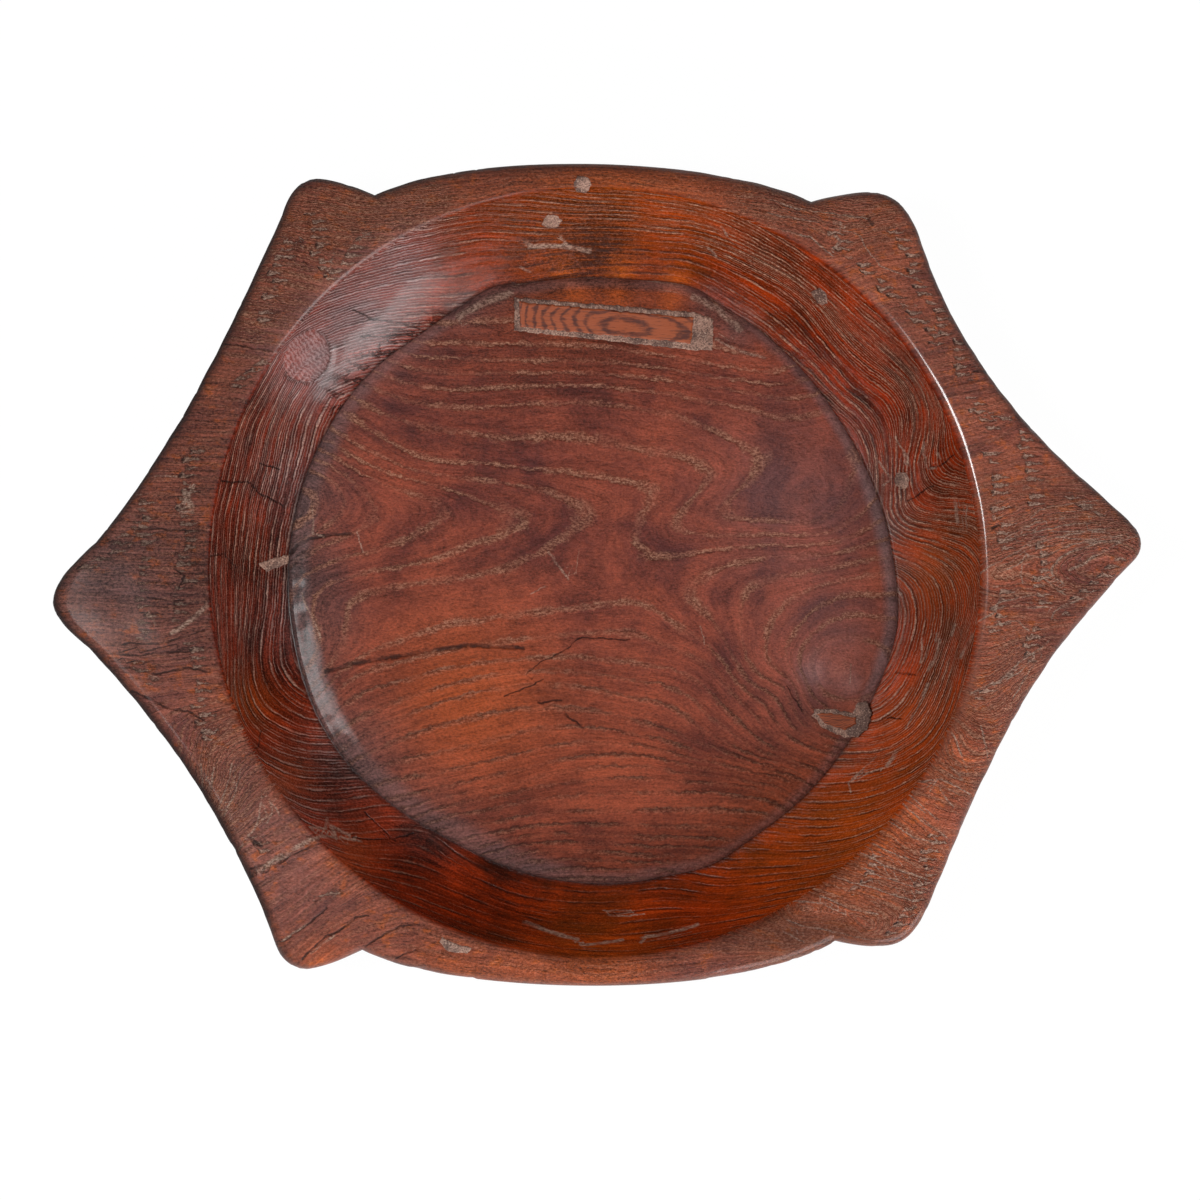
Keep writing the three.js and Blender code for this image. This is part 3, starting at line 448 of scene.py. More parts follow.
# Growth rings on the rim: guide lines in plan
RIM_GRAIN = [
    (-46, [(-150, -248), (-80, -262), (0, -268), (80, -264), (150, -244)]),
    (-38, [(-205, -241), (-190, -230), (-175, -217), (-165, -210)]),
    (-42, [(-190, -250), (-180, -240), (-165, -230), (-155, -224)]),
    (-44, [(-150, -242), (-140, -236), (-125, -230), (-100, -238), (0, -255), (120, -243),
           (150, -238)]),
    (-33, [(-226, -197), (-205, -187), (-190, -178), (-162, -167)]),
    (-20, [(-256, -118), (-255, -140)]),
    (-18, [(-270, -100), (-266, -118)]),
    (-22, [(-246, -120), (-250, -145)]),
    (-13, [(-310, -64), (-285, -69), (-265, -65), (-252, -67)]),
    (-11, [(-310, -55), (-295, -57), (-265, -55)]),
    (-9, [(-300, -49), (-285, -50), (-270, -46), (-255, -41)]),
    (-4, [(-330, -18), (-290, -20), (-272, -22), (-255, -22)]),
    (5, [(-300, 24), (-270, 24), (-250, 26)]),
    (12, [(-285, 57), (-250, 57)]),
    (24, [(-250, 122), (-222, 118)]),
    (31, [(-235, 160), (-205, 157)]),
    (33, [(-230, 171), (-190, 166)]),
    (38, [(-212, 200), (-170, 190)]),
    (42, [(-196, 222), (-160, 215)]),
    (45, [(-200, 234), (-160, 229), (-120, 231)]),
    (48, [(-180, 249), (-150, 240), (-110, 246), (0, 254), (110, 244), (132, 236), (150, 234),
          (172, 231)]),
    (46.5, [(-60, 251), (0, 251), (110, 234), (125, 231), (140, 228)]),
    (53, [(-80, 268), (0, 272), (80, 266)]),
    (45, [(112, 225), (128, 220), (137, 218), (143, 212), (150, 207)]),
    (42, [(175, 206), (190, 207), (202, 210)]),
    (38, [(190, 188), (210, 190)]),
    (34, [(205, 168), (222, 172)]),
    (28, [(222, 140), (240, 144)]),
    (22, [(236, 110), (258, 114)]),
    (16, [(248, 76), (268, 84), (275, 92)]),
    (13, [(250, 60), (275, 66), (295, 64)]),
    (9, [(250, 42), (268, 50), (300, 52), (315, 49)]),
    (7.6, [(255, 30), (268, 35), (280, 38), (290, 43), (310, 45), (325, 43)]),
    (6, [(250, 22), (262, 24), (272, 29), (282, 33), (292, 36), (305, 37), (322, 36)]),
    (5, [(248, 14), (262, 17), (270, 22), (280, 25), (290, 28), (300, 30), (318, 31.5), (335, 30)]),
    (4, [(246, 6), (258, 10), (270, 13), (280, 17), (286, 19.5), (295, 22), (305, 24), (318, 27),
         (332, 28)]),
    (3, [(246, -1), (264, 9), (279, 10), (293, 12), (304, 17), (322, 21), (342, 24)]),
    (2, [(337, 21), (318, 17), (301, 11), (292, 2), (293, -2), (300, -8), (312, -10)]),
    (1, [(328, 14), (318, 9), (307, 3), (312, -3), (322, -4)]),
    (3, [(258, 1), (268, -1), (281, -4), (287, -6), (293, -10), (300, -14), (312, -15)]),
    (4.5, [(258, -21), (266, -19), (279, -16), (290, -20), (303, -21), (314, -19)]),
    (7, [(245, -33), (256, -36), (270, -34), (280, -37), (295, -33)]),
    (12, [(241, -78), (250, -75), (264, -66), (280, -53), (290, -46)]),
    (15, [(250, -92), (262, -82), (274, -70)]),
    (20, [(225, -100), (222, -120), (232, -132)]),
    (24, [(205, -137), (218, -136), (228, -139), (237, -144)]),
    (26, [(195, -150), (205, -160), (215, -168), (222, -172)]),
    (30, [(162, -181), (175, -186), (190, -193), (208, -199)]),
    (33, [(140, -196), (150, -198), (170, -204), (190, -210), (200, -214)]),
    (36, [(120, -212), (150, -218), (170, -224), (190, -230)]),
    (39, [(120, -226), (150, -232), (170, -238)]),
]
RIM_CRACKS = [
    (0.8, [(-300, 24), (-285, 24.5), (-270, 24), (-257, 24)]),
    (0.9, [(-308, -50), (-300, -49), (-285, -50), (-270, -46), (-256, -41)]),
    (0.7, [(-312, -56), (-295, -57), (-280, -55), (-265, -55)]),
    (0.9, [(-308, -64), (-298, -66), (-285, -69), (-265, -65), (-252, -67)]),
    (0.7, [(-290, -19), (-280, -22), (-270, -22)]),
    (0.8, [(-300, -80), (-280, -90), (-265, -93), (-256, -98)]),
    (0.6, [(-274, -2), (-268, -6), (-271, -12)]),
    (0.9, [(-207, -242), (-198, -236), (-188, -229), (-176, -219)]),
    (0.8, [(-190, -250), (-186, -245), (-176, -236), (-165, -231), (-157, -224), (-150, -223)]),
    (0.8, [(-150, -242), (-140, -236), (-128, -229), (-122, -229)]),
    (0.8, [(-130, -250), (-124, -247), (-119, -245)]),
    (0.8, [(-226, -199), (-215, -196), (-205, -190), (-196, -183), (-187, -179), (-180, -177)]),
    (0.7, [(-224, -193), (-212, -190), (-200, -182)]),
    (1.6, [(-221, -176), (-218, -178)]),
    (1.7, [(175, 230.5), (176.5, 228.5)]),
    (0.9, [(244, 131), (252, 131)]),
    (1.2, [(255, 28), (257, 29)]),
    (0.7, [(-242, 145), (-228, 143), (-214, 141)]),
]
RIM_SCRATCHES = [
    (0.8, [(279, 10), (283, 9), (288, 9.5), (293, 12), (298, 14.5), (304, 17), (312, 18.5), (322, 21),
           (332, 23), (342, 24)]),
    (0.8, [(337, 21.5), (330, 20), (318, 17), (308, 14), (301, 11), (295, 6), (292, 1), (293, -2),
           (298, -6), (300, -8)]),
    (1.0, [(306, 2), (312, 4), (320, 10), (328, 14)]),
    (0.7, [(328, 14), (340, 20), (348, 24)]),
    (0.8, [(280, 17), (286, 19.5), (295, 22), (305, 24), (318, 27), (327, 28)]),
    (0.6, [(270, 22), (280, 25), (290, 28), (300, 30), (310, 31), (318, 31.5)]),
    (0.6, [(262, 21), (272, 27), (282, 31), (292, 34), (305, 35), (322, 36)]),
    (0.6, [(280, 36), (290, 42), (300, 43), (310, 45), (322, 46)]),
    (0.8, [(246, -1), (252, 3), (258, 5.5), (264, 9), (270, 12), (274, 16)]),
    (0.7, [(260, 0), (268, 3), (273, 6), (275, 10)]),
    (0.7, [(273, 6), (272, -2), (273, -6)]),
    (0.8, [(281, -4), (287, -5), (293, -9), (297, -12), (300, -14)]),
    (0.8, [(254, -24), (258, -21), (266, -19), (272, -17), (279, -16)]),
    (0.9, [(243, -34), (252, -29), (256, -27), (256, -24)]),
    (0.7, [(252, -37), (264, -33), (270, -33), (276, -38)]),
    (0.9, [(278, -24), (288, -23)]),
    (0.8, [(293, -30), (295, -25), (303, -21), (310, -18), (314, -16)]),
    (1.0, [(240, -79), (250, -75), (258, -71), (264, -66)]),
    (0.7, [(264, -66), (270, -60), (280, -53), (288, -47)]),
    (0.6, [(262, -70), (270, -66), (280, -57)]),
    (0.6, [(266, -82), (272, -72), (281, -60)]),
    (0.6, [(112, 242), (122, 239), (132, 236), (150, 234), (165, 232), (172, 231)]),
    (0.6, [(110, 234), (125, 231), (140, 228)]),
    (0.6, [(150, 222), (160, 223), (166, 221), (170, 218), (173, 211), (177, 206), (180, 203)]),
    (0.6, [(182, 200), (190, 196), (200, 193), (208, 190)]),
    (0.7, [(120, 222), (128, 220), (137, 218), (143, 212), (150, 207)]),
    (1.3, [(152, 212), (156, 215), (154, 218)]),
    (1.5, [(153, 228), (155, 228)]),
    (0.8, [(205, -137), (211, -136), (218, -135), (228, -139), (237, -144)]),
    (0.7, [(195, -151), (205, -161), (215, -168), (221, -172)]),
    (0.6, [(200, -146), (208, -154), (216, -161)]),
    (0.7, [(184, -161), (192, -166), (200, -173), (214, -176)]),
    (0.8, [(164, -181), (175, -186), (182, -190), (190, -193), (208, -199)]),
    (0.6, [(176, -177), (186, -182), (196, -186)]),
    (0.6, [(170, -193), (182, -198), (196, -203), (210, -206)]),
    (0.7, [(148, -197), (160, -202), (172, -204), (186, -209), (200, -213)]),
    (0.6, [(142, -211), (150, -214), (160, -219), (176, -221)]),
    (0.6, [(122, -213), (138, -214), (156, -222)]),
    (0.7, [(120, -226), (130, -230), (146, -233), (170, -238)]),
    (0.7, [(118, -234), (128, -239)]),
    (0.8, [(220, -100), (228, -108), (232, -118), (236, -130)]),
    (0.7, [(226, -128), (232, -134)]),
    (0.8, [(246, -102), (248, -110), (250, -120)]),
    (0.7, [(212, -142), (216, -136), (220, -146), (226, -152)]),
    (2.0, [(-176, -171), (-187, -175), (-196, -181), (-205, -186), (-218, -194)]),
    (0.8, [(-232, -182), (-228, -174), (-222, -168), (-219, -160), (-218, -148), (-214, -158)]),
    (0.8, [(-214, -163), (-210, -156), (-212, -150), (-206, -158)]),
    (0.8, [(-205, -240), (-196, -234), (-190, -230)]),
    (0.9, [(-184, -246), (-180, -243), (-172, -236)]),
    (0.7, [(-256, -128), (-255, -140)]),
    (0.7, [(-248, -130), (-250, -145), (-252, -142)]),
    (0.7, [(-237, -128), (-239, -140), (-244, -154)]),
    (0.6, [(-231, -130), (-234, -146), (-240, -158)]),
    (1.8, [(-254, -25), (-260, -31), (-268, -38), (-275, -42)]),
    (1.2, [(-262, 52), (-270, 40)]),
    (2.2, [(-268, 49), (-264, 40)]),
    (1.5, [(-270, 36), (-264, 36)]),
    (0.7, [(-285, 59), (-275, 59)]),
    (0.8, [(-290, -30), (-287, -36)]),
]

# Rows of small darts on the rim, where a blade caught the fibres: the way of each row, and the pitch
DART_ROWS = [
    [(270, 92), (276, 72), (276, 44)], [(252, 76), (256, 40), (260, 14)],
    [(283, 20), (284, -4), (281, -22)], [(256, -12), (252, -40)], [(276, -36), (272, -58)],
    [(262, -66), (240, -82)], [(300, 50), (322, 36)], [(332, 8), (316, -8), (294, -30)],
    [(238, 112), (248, 92)], [(262, 100), (240, 104)],
    [(150, 222), (153, 212), (166, 202), (181, 186), (190, 176), (204, 162), (216, 150)],
    [(187, 224), (197, 210), (200, 198), (207, 184), (214, 170), (222, 158), (228, 142), (236, 126)],
    [(-298, 46), (-296, 0), (-297, -46)], [(-268, 76), (-271, 45), (-270, 5), (-275, -35)],
    [(-268, -50), (-262, -80), (-256, -110)], [(-336, 0), (-320, 8), (-304, 28)],
    [(-300, -62), (-290, -74)], [(-222, 134), (-242, 118)], [(-206, 214), (-216, 186), (-220, 160)],
    [(-157, 217), (-170, 200), (-180, 188)], [(-192, 230), (-182, 190)], [(-146, 224), (-158, 216)],
    [(212, -172), (206, -186), (204, -202), (198, -218), (184, -236)], [(176, -184), (158, -208)],
    [(-186, -212), (-172, -208)], [(-222, -174), (-214, -184)],
]
DART_PITCH = 5.2

# Where the rim shows its ring lines, and where the wall is chipped: half width, then the way
LINED_RIM = [
    (45, [(255, 10), (345, 25)]), (30, [(262, -60), (236, -120), (205, -150)]),
    (40, [(130, -230), (190, -200)]), (30, [(-120, 245), (-190, 220), (-225, 170)]),
    (20, [(100, 245), (180, 232)]), (30, [(-250, -120), (-240, -150)]),
]
CHIPPED = [(14, [(-112, 164), (-140, 146), (-166, 118)])]

# Where the colour is shifted: plan place, spread, and how much lighter, warmer and greyer. Many spots are
# the wood's own tone, and some are painted light and shade, darker along the floor's edge and on the left,
# and a painted grey sheen on the upper left wall.
TONES = [
    (-90, -80, 60, 0.05, 0.42, 0), (0, -120, 70, 0.15, 0.12, 0), (0, 190, 60, -0.1, 0.12, 0.0),
    (-235, 0, 55, -0.45, 0, 0), (-225, 100, 40, -0.2, 0, 0), (-190, -130, 50, -0.25, 0.05, 0),
    (-195, 60, 30, -0.15, 0, 0.3), (-192, -30, 30, -0.15, 0, 0.35), (-160, -115, 30, -0.1, 0, 0.3),
    (-110, -160, 25, -0.1, 0, 0.2), (-185, 10, 20, -0.1, 0, 0.2), (0, -235, 40, -0.1, 0.12, 0),
    (-90, -225, 50, -0.15, 0, 0), (130, -190, 60, 0.05, 0.35, 0), (200, -110, 50, 0.05, 0.25, 0),
    (235, 0, 50, 0.1, 0.15, 0), (0, 235, 60, -0.35, 0.2, 0), (-90, 225, 50, -0.1, 0.15, 0),
    (110, 210, 40, -0.1, 0, 0), (-320, 0, 50, -0.25, 0, 0.25), (-260, 90, 60, -0.2, 0, 0.05),
    (-180, 230, 40, -0.15, 0.05, 0), (200, -170, 50, 0.1, 0.1, 0), (250, -90, 40, 0.2, 0.05, 0),
    (280, 70, 50, 0.1, 0.05, 0), (180, 220, 50, 0.1, 0.1, 0), (0, -262, 40, -0.15, 0.45, 0),
    (60, 262, 60, 0.1, 0.3, 0), (-200, -200, 50, 0.05, 0, 0.1), (-195, 135, 26, 0.1, 0, 0.4),
    (-150, 165, 34, 0.05, 0, 0.3), (140, 40, 60, 0.2, 0, 0.12), (150, -60, 60, 0.2, 0, 0.12),
    (60, 100, 60, 0.1, 0, 0), (-90, 150, 50, -0.1, 0, 0), (52, 199, 10, 0.15, 0.5, 0),
    (15, 204, 10, 0.15, 0.55, 0), (-22, 204, 9, 0.1, 0.45, 0), (0, 222, 25, -0.2, 0, 0),
    (-60, 222, 25, -0.2, 0, 0), (-222, 0, 25, -0.3, 0, 0), (-215, -60, 25, -0.25, 0, 0),
    (-215, 60, 22, -0.2, 0, 0), (-125, 205, 24, 0, 0, 0.45), (-165, 165, 24, 0, 0, 0.3),
    (-226, -82, 18, 0, 0.3, 0), (-203, -138, 18, 0, 0.35, 0), (-162, -186, 18, 0, 0.3, 0),
    (-200, -70, 20, -0.35, 0, 0), (-168, -135, 22, -0.4, 0, 0), (-118, -180, 22, -0.45, 0, 0),
    (-55, -207, 22, -0.3, 0, 0), (0, -214, 22, -0.15, 0, 0), (170, -165, 30, 0.05, 0.25, 0),
    (-14, 190, 9, 0.2, 0.3, 0), (14, 188, 8, 0.25, 0.3, 0), (48, 183, 8, 0.15, 0.3, 0),
    (105, 175, 20, 0.1, 0.1, 0), (215, 10, 28, 0.2, 0.2, 0), (0, 230, 28, -0.15, 0.2, 0),
    (100, 208, 28, -0.15, 0, 0), (-300, -30, 60, -0.08, 0, 0.2), (-215, -165, 45, 0, 0, 0.2),
    (125, 60, 60, 0.08, 0, 0.1), (160, -45, 30, 0.05, 0, 0.12), (0, 266, 30, 0.15, 0.1, 0),
    (-145, 178, 30, 0.2, 0, 0.15), (-185, 130, 24, 0.15, 0, 0.1), (-178, -250, 16, 0.1, 0.4, 0),
    (-99, -258, 20, 0, 0.35, 0), (-60, -265, 24, 0, 0.3, 0), (142, -62, 11, 0.3, 0, 0.35),
    (168, -70, 9, 0.2, 0, 0.3), (-186, 143, 16, 0, 0, 0.25), (150, -190, 35, -0.12, 0, 0),
    (-130, -190, 40, -0.15, 0, 0), (-210, -40, 30, -0.12, 0, 0), (0, 215, 30, -0.1, 0.05, 0),
    (80, -212, 35, -0.1, 0, 0), (-86, 178, 13, -0.25, 0, 0.35), (-66, 190, 12, -0.2, 0, 0.3),
    (76, 184, 12, -0.2, 0, 0.3), (94, 169, 12, -0.25, 0, 0.35), (198, 34, 9, -0.3, 0, 0.1),
    (201, 12, 9, -0.35, 0, 0.1), (200, -10, 9, -0.3, 0, 0.1), (196, -32, 9, -0.25, 0, 0.1),
    (170, -150, 40, -0.08, 0, 0), (-30, 222, 40, -0.08, 0.25, 0), (-338, -10, 25, -0.12, 0, 0.1),
    (-60, 130, 40, -0.08, 0, 0), (210, -85, 30, 0.05, 0.1, 0), (0, 150, 50, -0.08, 0, 0),
]

# The beds and outlines of the mends, in plan, and the wedge in the wall from its own middle
PATCH_BED = [(-55.5, 165), (-12, 160.5), (28, 156.5), (66, 152.5), (76.5, 153), (77, 174.5),
             (64, 178.5), (-55.5, 187.5)]
PATCH = [(-51.5, 167.5), (62, 157.5), (64, 174.5), (-52.3, 184.4)]
KNOT_BED = [(141.5, -90.5), (148.5, -98.5), (155, -101.5), (164, -105), (172, -104.5), (179, -98.5),
            (181.5, -88), (178, -80.5), (172, -82), (169, -88.5), (153, -86), (143.5, -86.5)]
CHIP = [(144.5, -89.5), (150, -95.5), (163, -100), (171, -96), (170.3, -92), (153, -88.7)]
CHIP_WEDGE = [(-2.5, 12), (-7.5, 5), (-3, -6), (1.5, -13), (6.5, -12.5), (3, -2)]
LOW_PLUG = [(-104, -239.5), (-98, -245.8), (-86, -247), (-83, -243.5), (-94, -240.5), (-102, -236.5)]

# Where the back lies in the flat layout of the surface, and how wide it is there
BACK_SPOT = np.array([0.115, 0.9])
BACK_SHARE = 0.2

# Which surface a face belongs to
ON_FLOOR, ON_WALL, ON_RIM, ON_UNDERSIDE = range(4)


def turn_between(a, b):
    return (a - b + 180) % 360 - 180


def floor_radius(direction):
    swell = sum(by * np.exp(-(turn_between(direction, at) / spread) ** 2) for at, spread, by in EDGE_SWELLS)
    return FOOT_OF_WALL + swell


def rim_height(radius):
    out = np.clip((radius - MOUTH) / (TIP_REACH - MOUTH), 0, None)
    return RIM_TOP - TIP_DROP * out ** 2


def bend(controls, t):
    """A curve drawn by its control points. Each may be an array, for many curves at once."""
    points = [np.asarray(p, float) for p in controls]
    while len(points) > 1:
        points = [a * (1 - t) + b * t for a, b in zip(points, points[1:])]
    return points[0]


def smooth(value, start, end):
    t = np.clip((value - start) / (end - start), 0, 1)
    return t * t * (3 - 2 * t)


def wobble(places, size, seed):
    """An uneven swell of about -1 to 1: a sum of waves in set headings, the same on every run."""
    total = 0
    for k in range(WAVES):
        turn = WAVE_TURN * (k + 1) + seed
        pitch = 2 * np.pi / (size * (0.6 + 0.8 * ((k * 0.618 + seed * 0.37) % 1)))
        heading = np.array([np.cos(turn), np.sin(turn), np.cos(1.7 * turn)])[: places.shape[1]]
        total = total + np.sin(places @ heading * pitch + 5.3 * turn)
    return total / math.sqrt(WAVES)


class RingField:
    """The count of growth rings over a surface: a thin plate laid through the guide lines."""

    UNIT = 50.0
    STEP = 9.0
    EASE = 2e-4

    def __init__(self, guides, across=1.0):
        self.across = across
        places, counts = [], []
        for count, way in guides:
            way = np.array(way, float) * (across, 1)
            for a, b in zip(way[:-1], way[1:]):
                parts = max(1, round(np.hypot(*(b - a)) / self.STEP))
                places += [a + (b - a) * k / parts for k in range(parts)]
                counts += [count] * parts
            places.append(way[-1])
            counts.append(count)
        self.knots = np.array(places) / self.UNIT
        n = len(self.knots)
        frame_rows = np.c_[np.ones(n), self.knots]
        system = np.zeros((n + 3, n + 3))
        system[:n, :n] = self.plate(self.knots) + self.EASE * n * np.eye(n)
        system[:n, n:] = frame_rows
        system[n:, :n] = frame_rows.T
        self.weights = np.linalg.solve(system, np.r_[np.array(counts, float), 0, 0, 0])

    def plate(self, places):
        gap = ((places[:, None] - self.knots[None]) ** 2).sum(-1)
        return 0.5 * gap * np.log(gap + 1e-12)

    def count(self, places):
        places = places * (self.across, 1) / self.UNIT
        out = [
            self.plate(part) @ self.weights[:-3] + np.c_[np.ones(len(part)), part] @ self.weights[-3:]
            for part in np.array_split(places, max(1, len(places) // 4000))
        ]
        return np.concatenate(out)

    def read(self, places):
        """The ring count at the places, and how many millimetres one ring takes there."""
        near = 0.6
        here = self.count(places)
        along = (self.count(places + (near / self.across, 0)) - here) / near
        up = (self.count(places + (0, near)) - here) / near
        return here, np.clip(1 / np.hypot(along, up).clip(1e-3), 1.5, 25)


# The carved plank

def plank_columns():
    """The columns around the hub: the direction of each in degrees, rising, and its reach."""
    t = np.linspace(0, 1, CURVE_POINTS, endpoint=False)[:, None]
    corner = np.array(OUTLINE_START, float)
    way = []
    for curve in OUTLINE:
        controls = [corner] + [np.array(p, float) for p in curve]
        way.append(bend(controls, t))
        corner = controls[-1]
    way = np.concatenate(way + [way[0][:1]])
    length = np.r_[0, np.cumsum(np.hypot(*np.diff(way, axis=0).T))]
    turn = np.unwrap(np.arctan2(*(way - HUB).T[::-1]))
    share = 0.5 * length / length[-1] + 0.5 * (turn - turn[0]) / (turn[-1] - turn[0])
    wanted = np.arange(COLUMNS) / COLUMNS
    for joint in share[:-1:CURVE_POINTS]:
        wanted[round(joint * COLUMNS) % COLUMNS] = joint
    out = np.stack([np.interp(wanted, share, way[:, k]) for k in (0, 1)], -1) - HUB
    direction = np.degrees(np.unwrap(np.arctan2(out[:, 1], out[:, 0])))
    return direction, np.hypot(*out.T)


def wall_corner(foot):
    """The corner point of the wall's curve, where its first and last slopes meet."""
    start, end = (math.tan(math.radians(a)) for a in (WALL_START_SLOPE, WALL_END_SLOPE))
    top = RIM_TOP - MOUTH_ROUND
    radius = (top - CREVICE_HEIGHT + start * foot - end * (MOUTH - 1)) / (start - end)
    return radius, CREVICE_HEIGHT + start * (radius - foot)


def section(direction, reach):
    """The carving's section in every column, from the floor's shoulder round to the foot: for each
    curve its surface, its number of steps and its control points as radius and height."""

    def at(radius, height):
        return np.stack(np.broadcast_arrays(np.asarray(radius, float) + 0 * reach, height), -1)

    edge = floor_radius(direction)
    mouth_out = MOUTH + MOUTH_MARGIN
    brow = np.maximum(reach - EDGE_ROUND, mouth_out + 1)
    face = rim_height(reach)
    top = rim_height(brow)
    under = face - PLANK
    neck = np.minimum(NECK, reach - NECK_SETBACK)
    foot = at(edge, CREVICE_HEIGHT)
    mouth = at(MOUTH - 1, RIM_TOP - MOUTH_ROUND)
    inner = at(mouth_out, RIM_TOP)
    outer = at(brow, top)
    side = at(reach, top - EDGE_ROUND)
    lip = at(reach - UNDER_ROUND, under)
    narrow = at(neck - 1, NECK_HEIGHT - 4)
    heel = at(FOOT_FLAT + FOOT_ROUND, 1.2)
    return [
        (ON_FLOOR, 4, [at(edge - SHOULDER, FLOOR_HEIGHT), at(edge - 1.5, FLOOR_HEIGHT - 0.6), foot]),
        (ON_WALL, 34, [foot, at(*wall_corner(edge)), mouth]),
        (ON_RIM, 5, [mouth, at(MOUTH + 0.4, RIM_TOP - 0.8), inner]),
        (ON_RIM, 32, [inner, at((mouth_out + brow) / 2, RIM_TOP), outer]),
        (ON_RIM, 5, [outer, at(reach - 0.5, top - 0.5), side]),
        (ON_RIM, 5, [side, at(reach, under + 1), lip]),
        (ON_UNDERSIDE, 4, [lip, at(neck + 4, under - 1), narrow]),
        (ON_UNDERSIDE, 10, [narrow, at(*BELLY_CORNER), heel]),
        (ON_UNDERSIDE, 2, [heel, at(FOOT_FLAT + 1, 0), at(FOOT_FLAT, 0)]),
    ]


def unwrapped(place):
    """The direction in degrees from the knot's direction on, and the distance, seen from the hub."""
    out = place[..., :2] - HUB
    direction = np.degrees(np.arctan2(out[..., 1], out[..., 0]))
    return (direction - KNOT_DIRECTION) % 360 + KNOT_DIRECTION, np.hypot(out[..., 0], out[..., 1])


def floor_relief(plan):
    """How far the worn floor stands off its even dome, in millimetres."""
    lift = 0.35 * wobble(plan, 95, 1) + 0.14 * wobble(plan, 34, 4)
    for centre, size, height in FLOOR_KNOTS:
        away = np.hypot(*(plan - centre).T) / size
        lift += height * np.exp(-away ** 2)
    direction, distance = unwrapped(plan)
    within = floor_radius(direction) - distance
    lift *= smooth(within, 2, 2 * SHOULDER)
    sagging = np.interp(direction, [145, 165, 250, 290, 400, 460, 505], [0.6, 1, 1, 0.3, 0.2, 0.2, 0.6])
    ripple = 0.12 * wobble(np.stack([direction * 3.5, 0 * direction], -1), 13, 6) * sagging
    worn = (1.7 * sagging + ripple) * (1 - smooth(within, 0, 20)) * smooth(within, 0, 5)
    return lift - worn.clip(-0.4, 3)


def wall_relief(direction, up):
    """How far the wall stands off its even curve."""
    place = np.stack([direction * DIRECTION_MM, up], -1)
    lift = 0.3 * wobble(place, 60, 3) + 0.12 * wobble(place, 22, 5)
    return lift * smooth(up, 0, 6) * (1 - smooth(up, WALL_CLIMB - 8, WALL_CLIMB))


class PlankMesh:
    """Vertices, faces, and for each face its surface. Places carry how far up the wall they are, and how
    far from the middle along the section."""

    def __init__(self):
        self.places, self.faces, self.surfaces = [], [], []
        self.up, self.unrolled = [], []

    def add(self, places, up=0.0, unrolled=0.0):
        first = len(self.places)
        self.places += list(places)
        self.up += list(np.broadcast_to(up, len(places)))
        self.unrolled += list(np.broadcast_to(unrolled, len(places)))
        return np.arange(first, first + len(places))

    def face(self, surface, *corners):
        self.faces.append(corners)
        self.surfaces.append(surface)

    def band(self, surface, inner, outer):
        n = len(inner)
        for i in range(n):
            j = (i + 1) % n
            self.face(surface, inner[i], outer[i], outer[j], inner[j])

    def halve(self, surface, inner, outer):
        n = len(outer)
        for i in range(n):
            j = (i + 1) % n
            a, b, c = (inner[k % len(inner)] for k in (2 * i, 2 * i + 1, 2 * i + 2))
            self.face(surface, a, outer[i], b)
            self.face(surface, b, outer[i], outer[j])
            self.face(surface, b, outer[j], c)

    def disc(self, surface, around, place_at, up_facing):
        """A round face as a square grid, so that its middle is as fine as its edge. place_at takes
        the level from the middle and the share of the way around."""
        side = len(around) // 4
        half = side // 2
        grid = np.zeros((side + 1, side + 1), int)
        for a in range(-half, half + 1):
            for b in range(-half, half + 1):
                m = max(abs(a), abs(b), 1)
                if a == m and b >= 0:
                    step = b
                elif b == m:
                    step = 2 * m - a
                elif a == -m:
                    step = 4 * m - b
                elif b == -m:
                    step = 6 * m + a
                else:
                    step = 8 * m + b
                if m == half:
                    grid[a + half, b + half] = around[step % len(around)]
                else:
                    level = max(abs(a), abs(b)) / half
                    grid[a + half, b + half] = self.add([place_at(level, step / (8 * m) % 1)])[0]
        for a in range(side):
            for b in range(side):
                ring = [grid[a, b], grid[a + 1, b], grid[a + 1, b + 1], grid[a, b + 1]]
                self.face(surface, *(ring if up_facing else ring[::-1]))


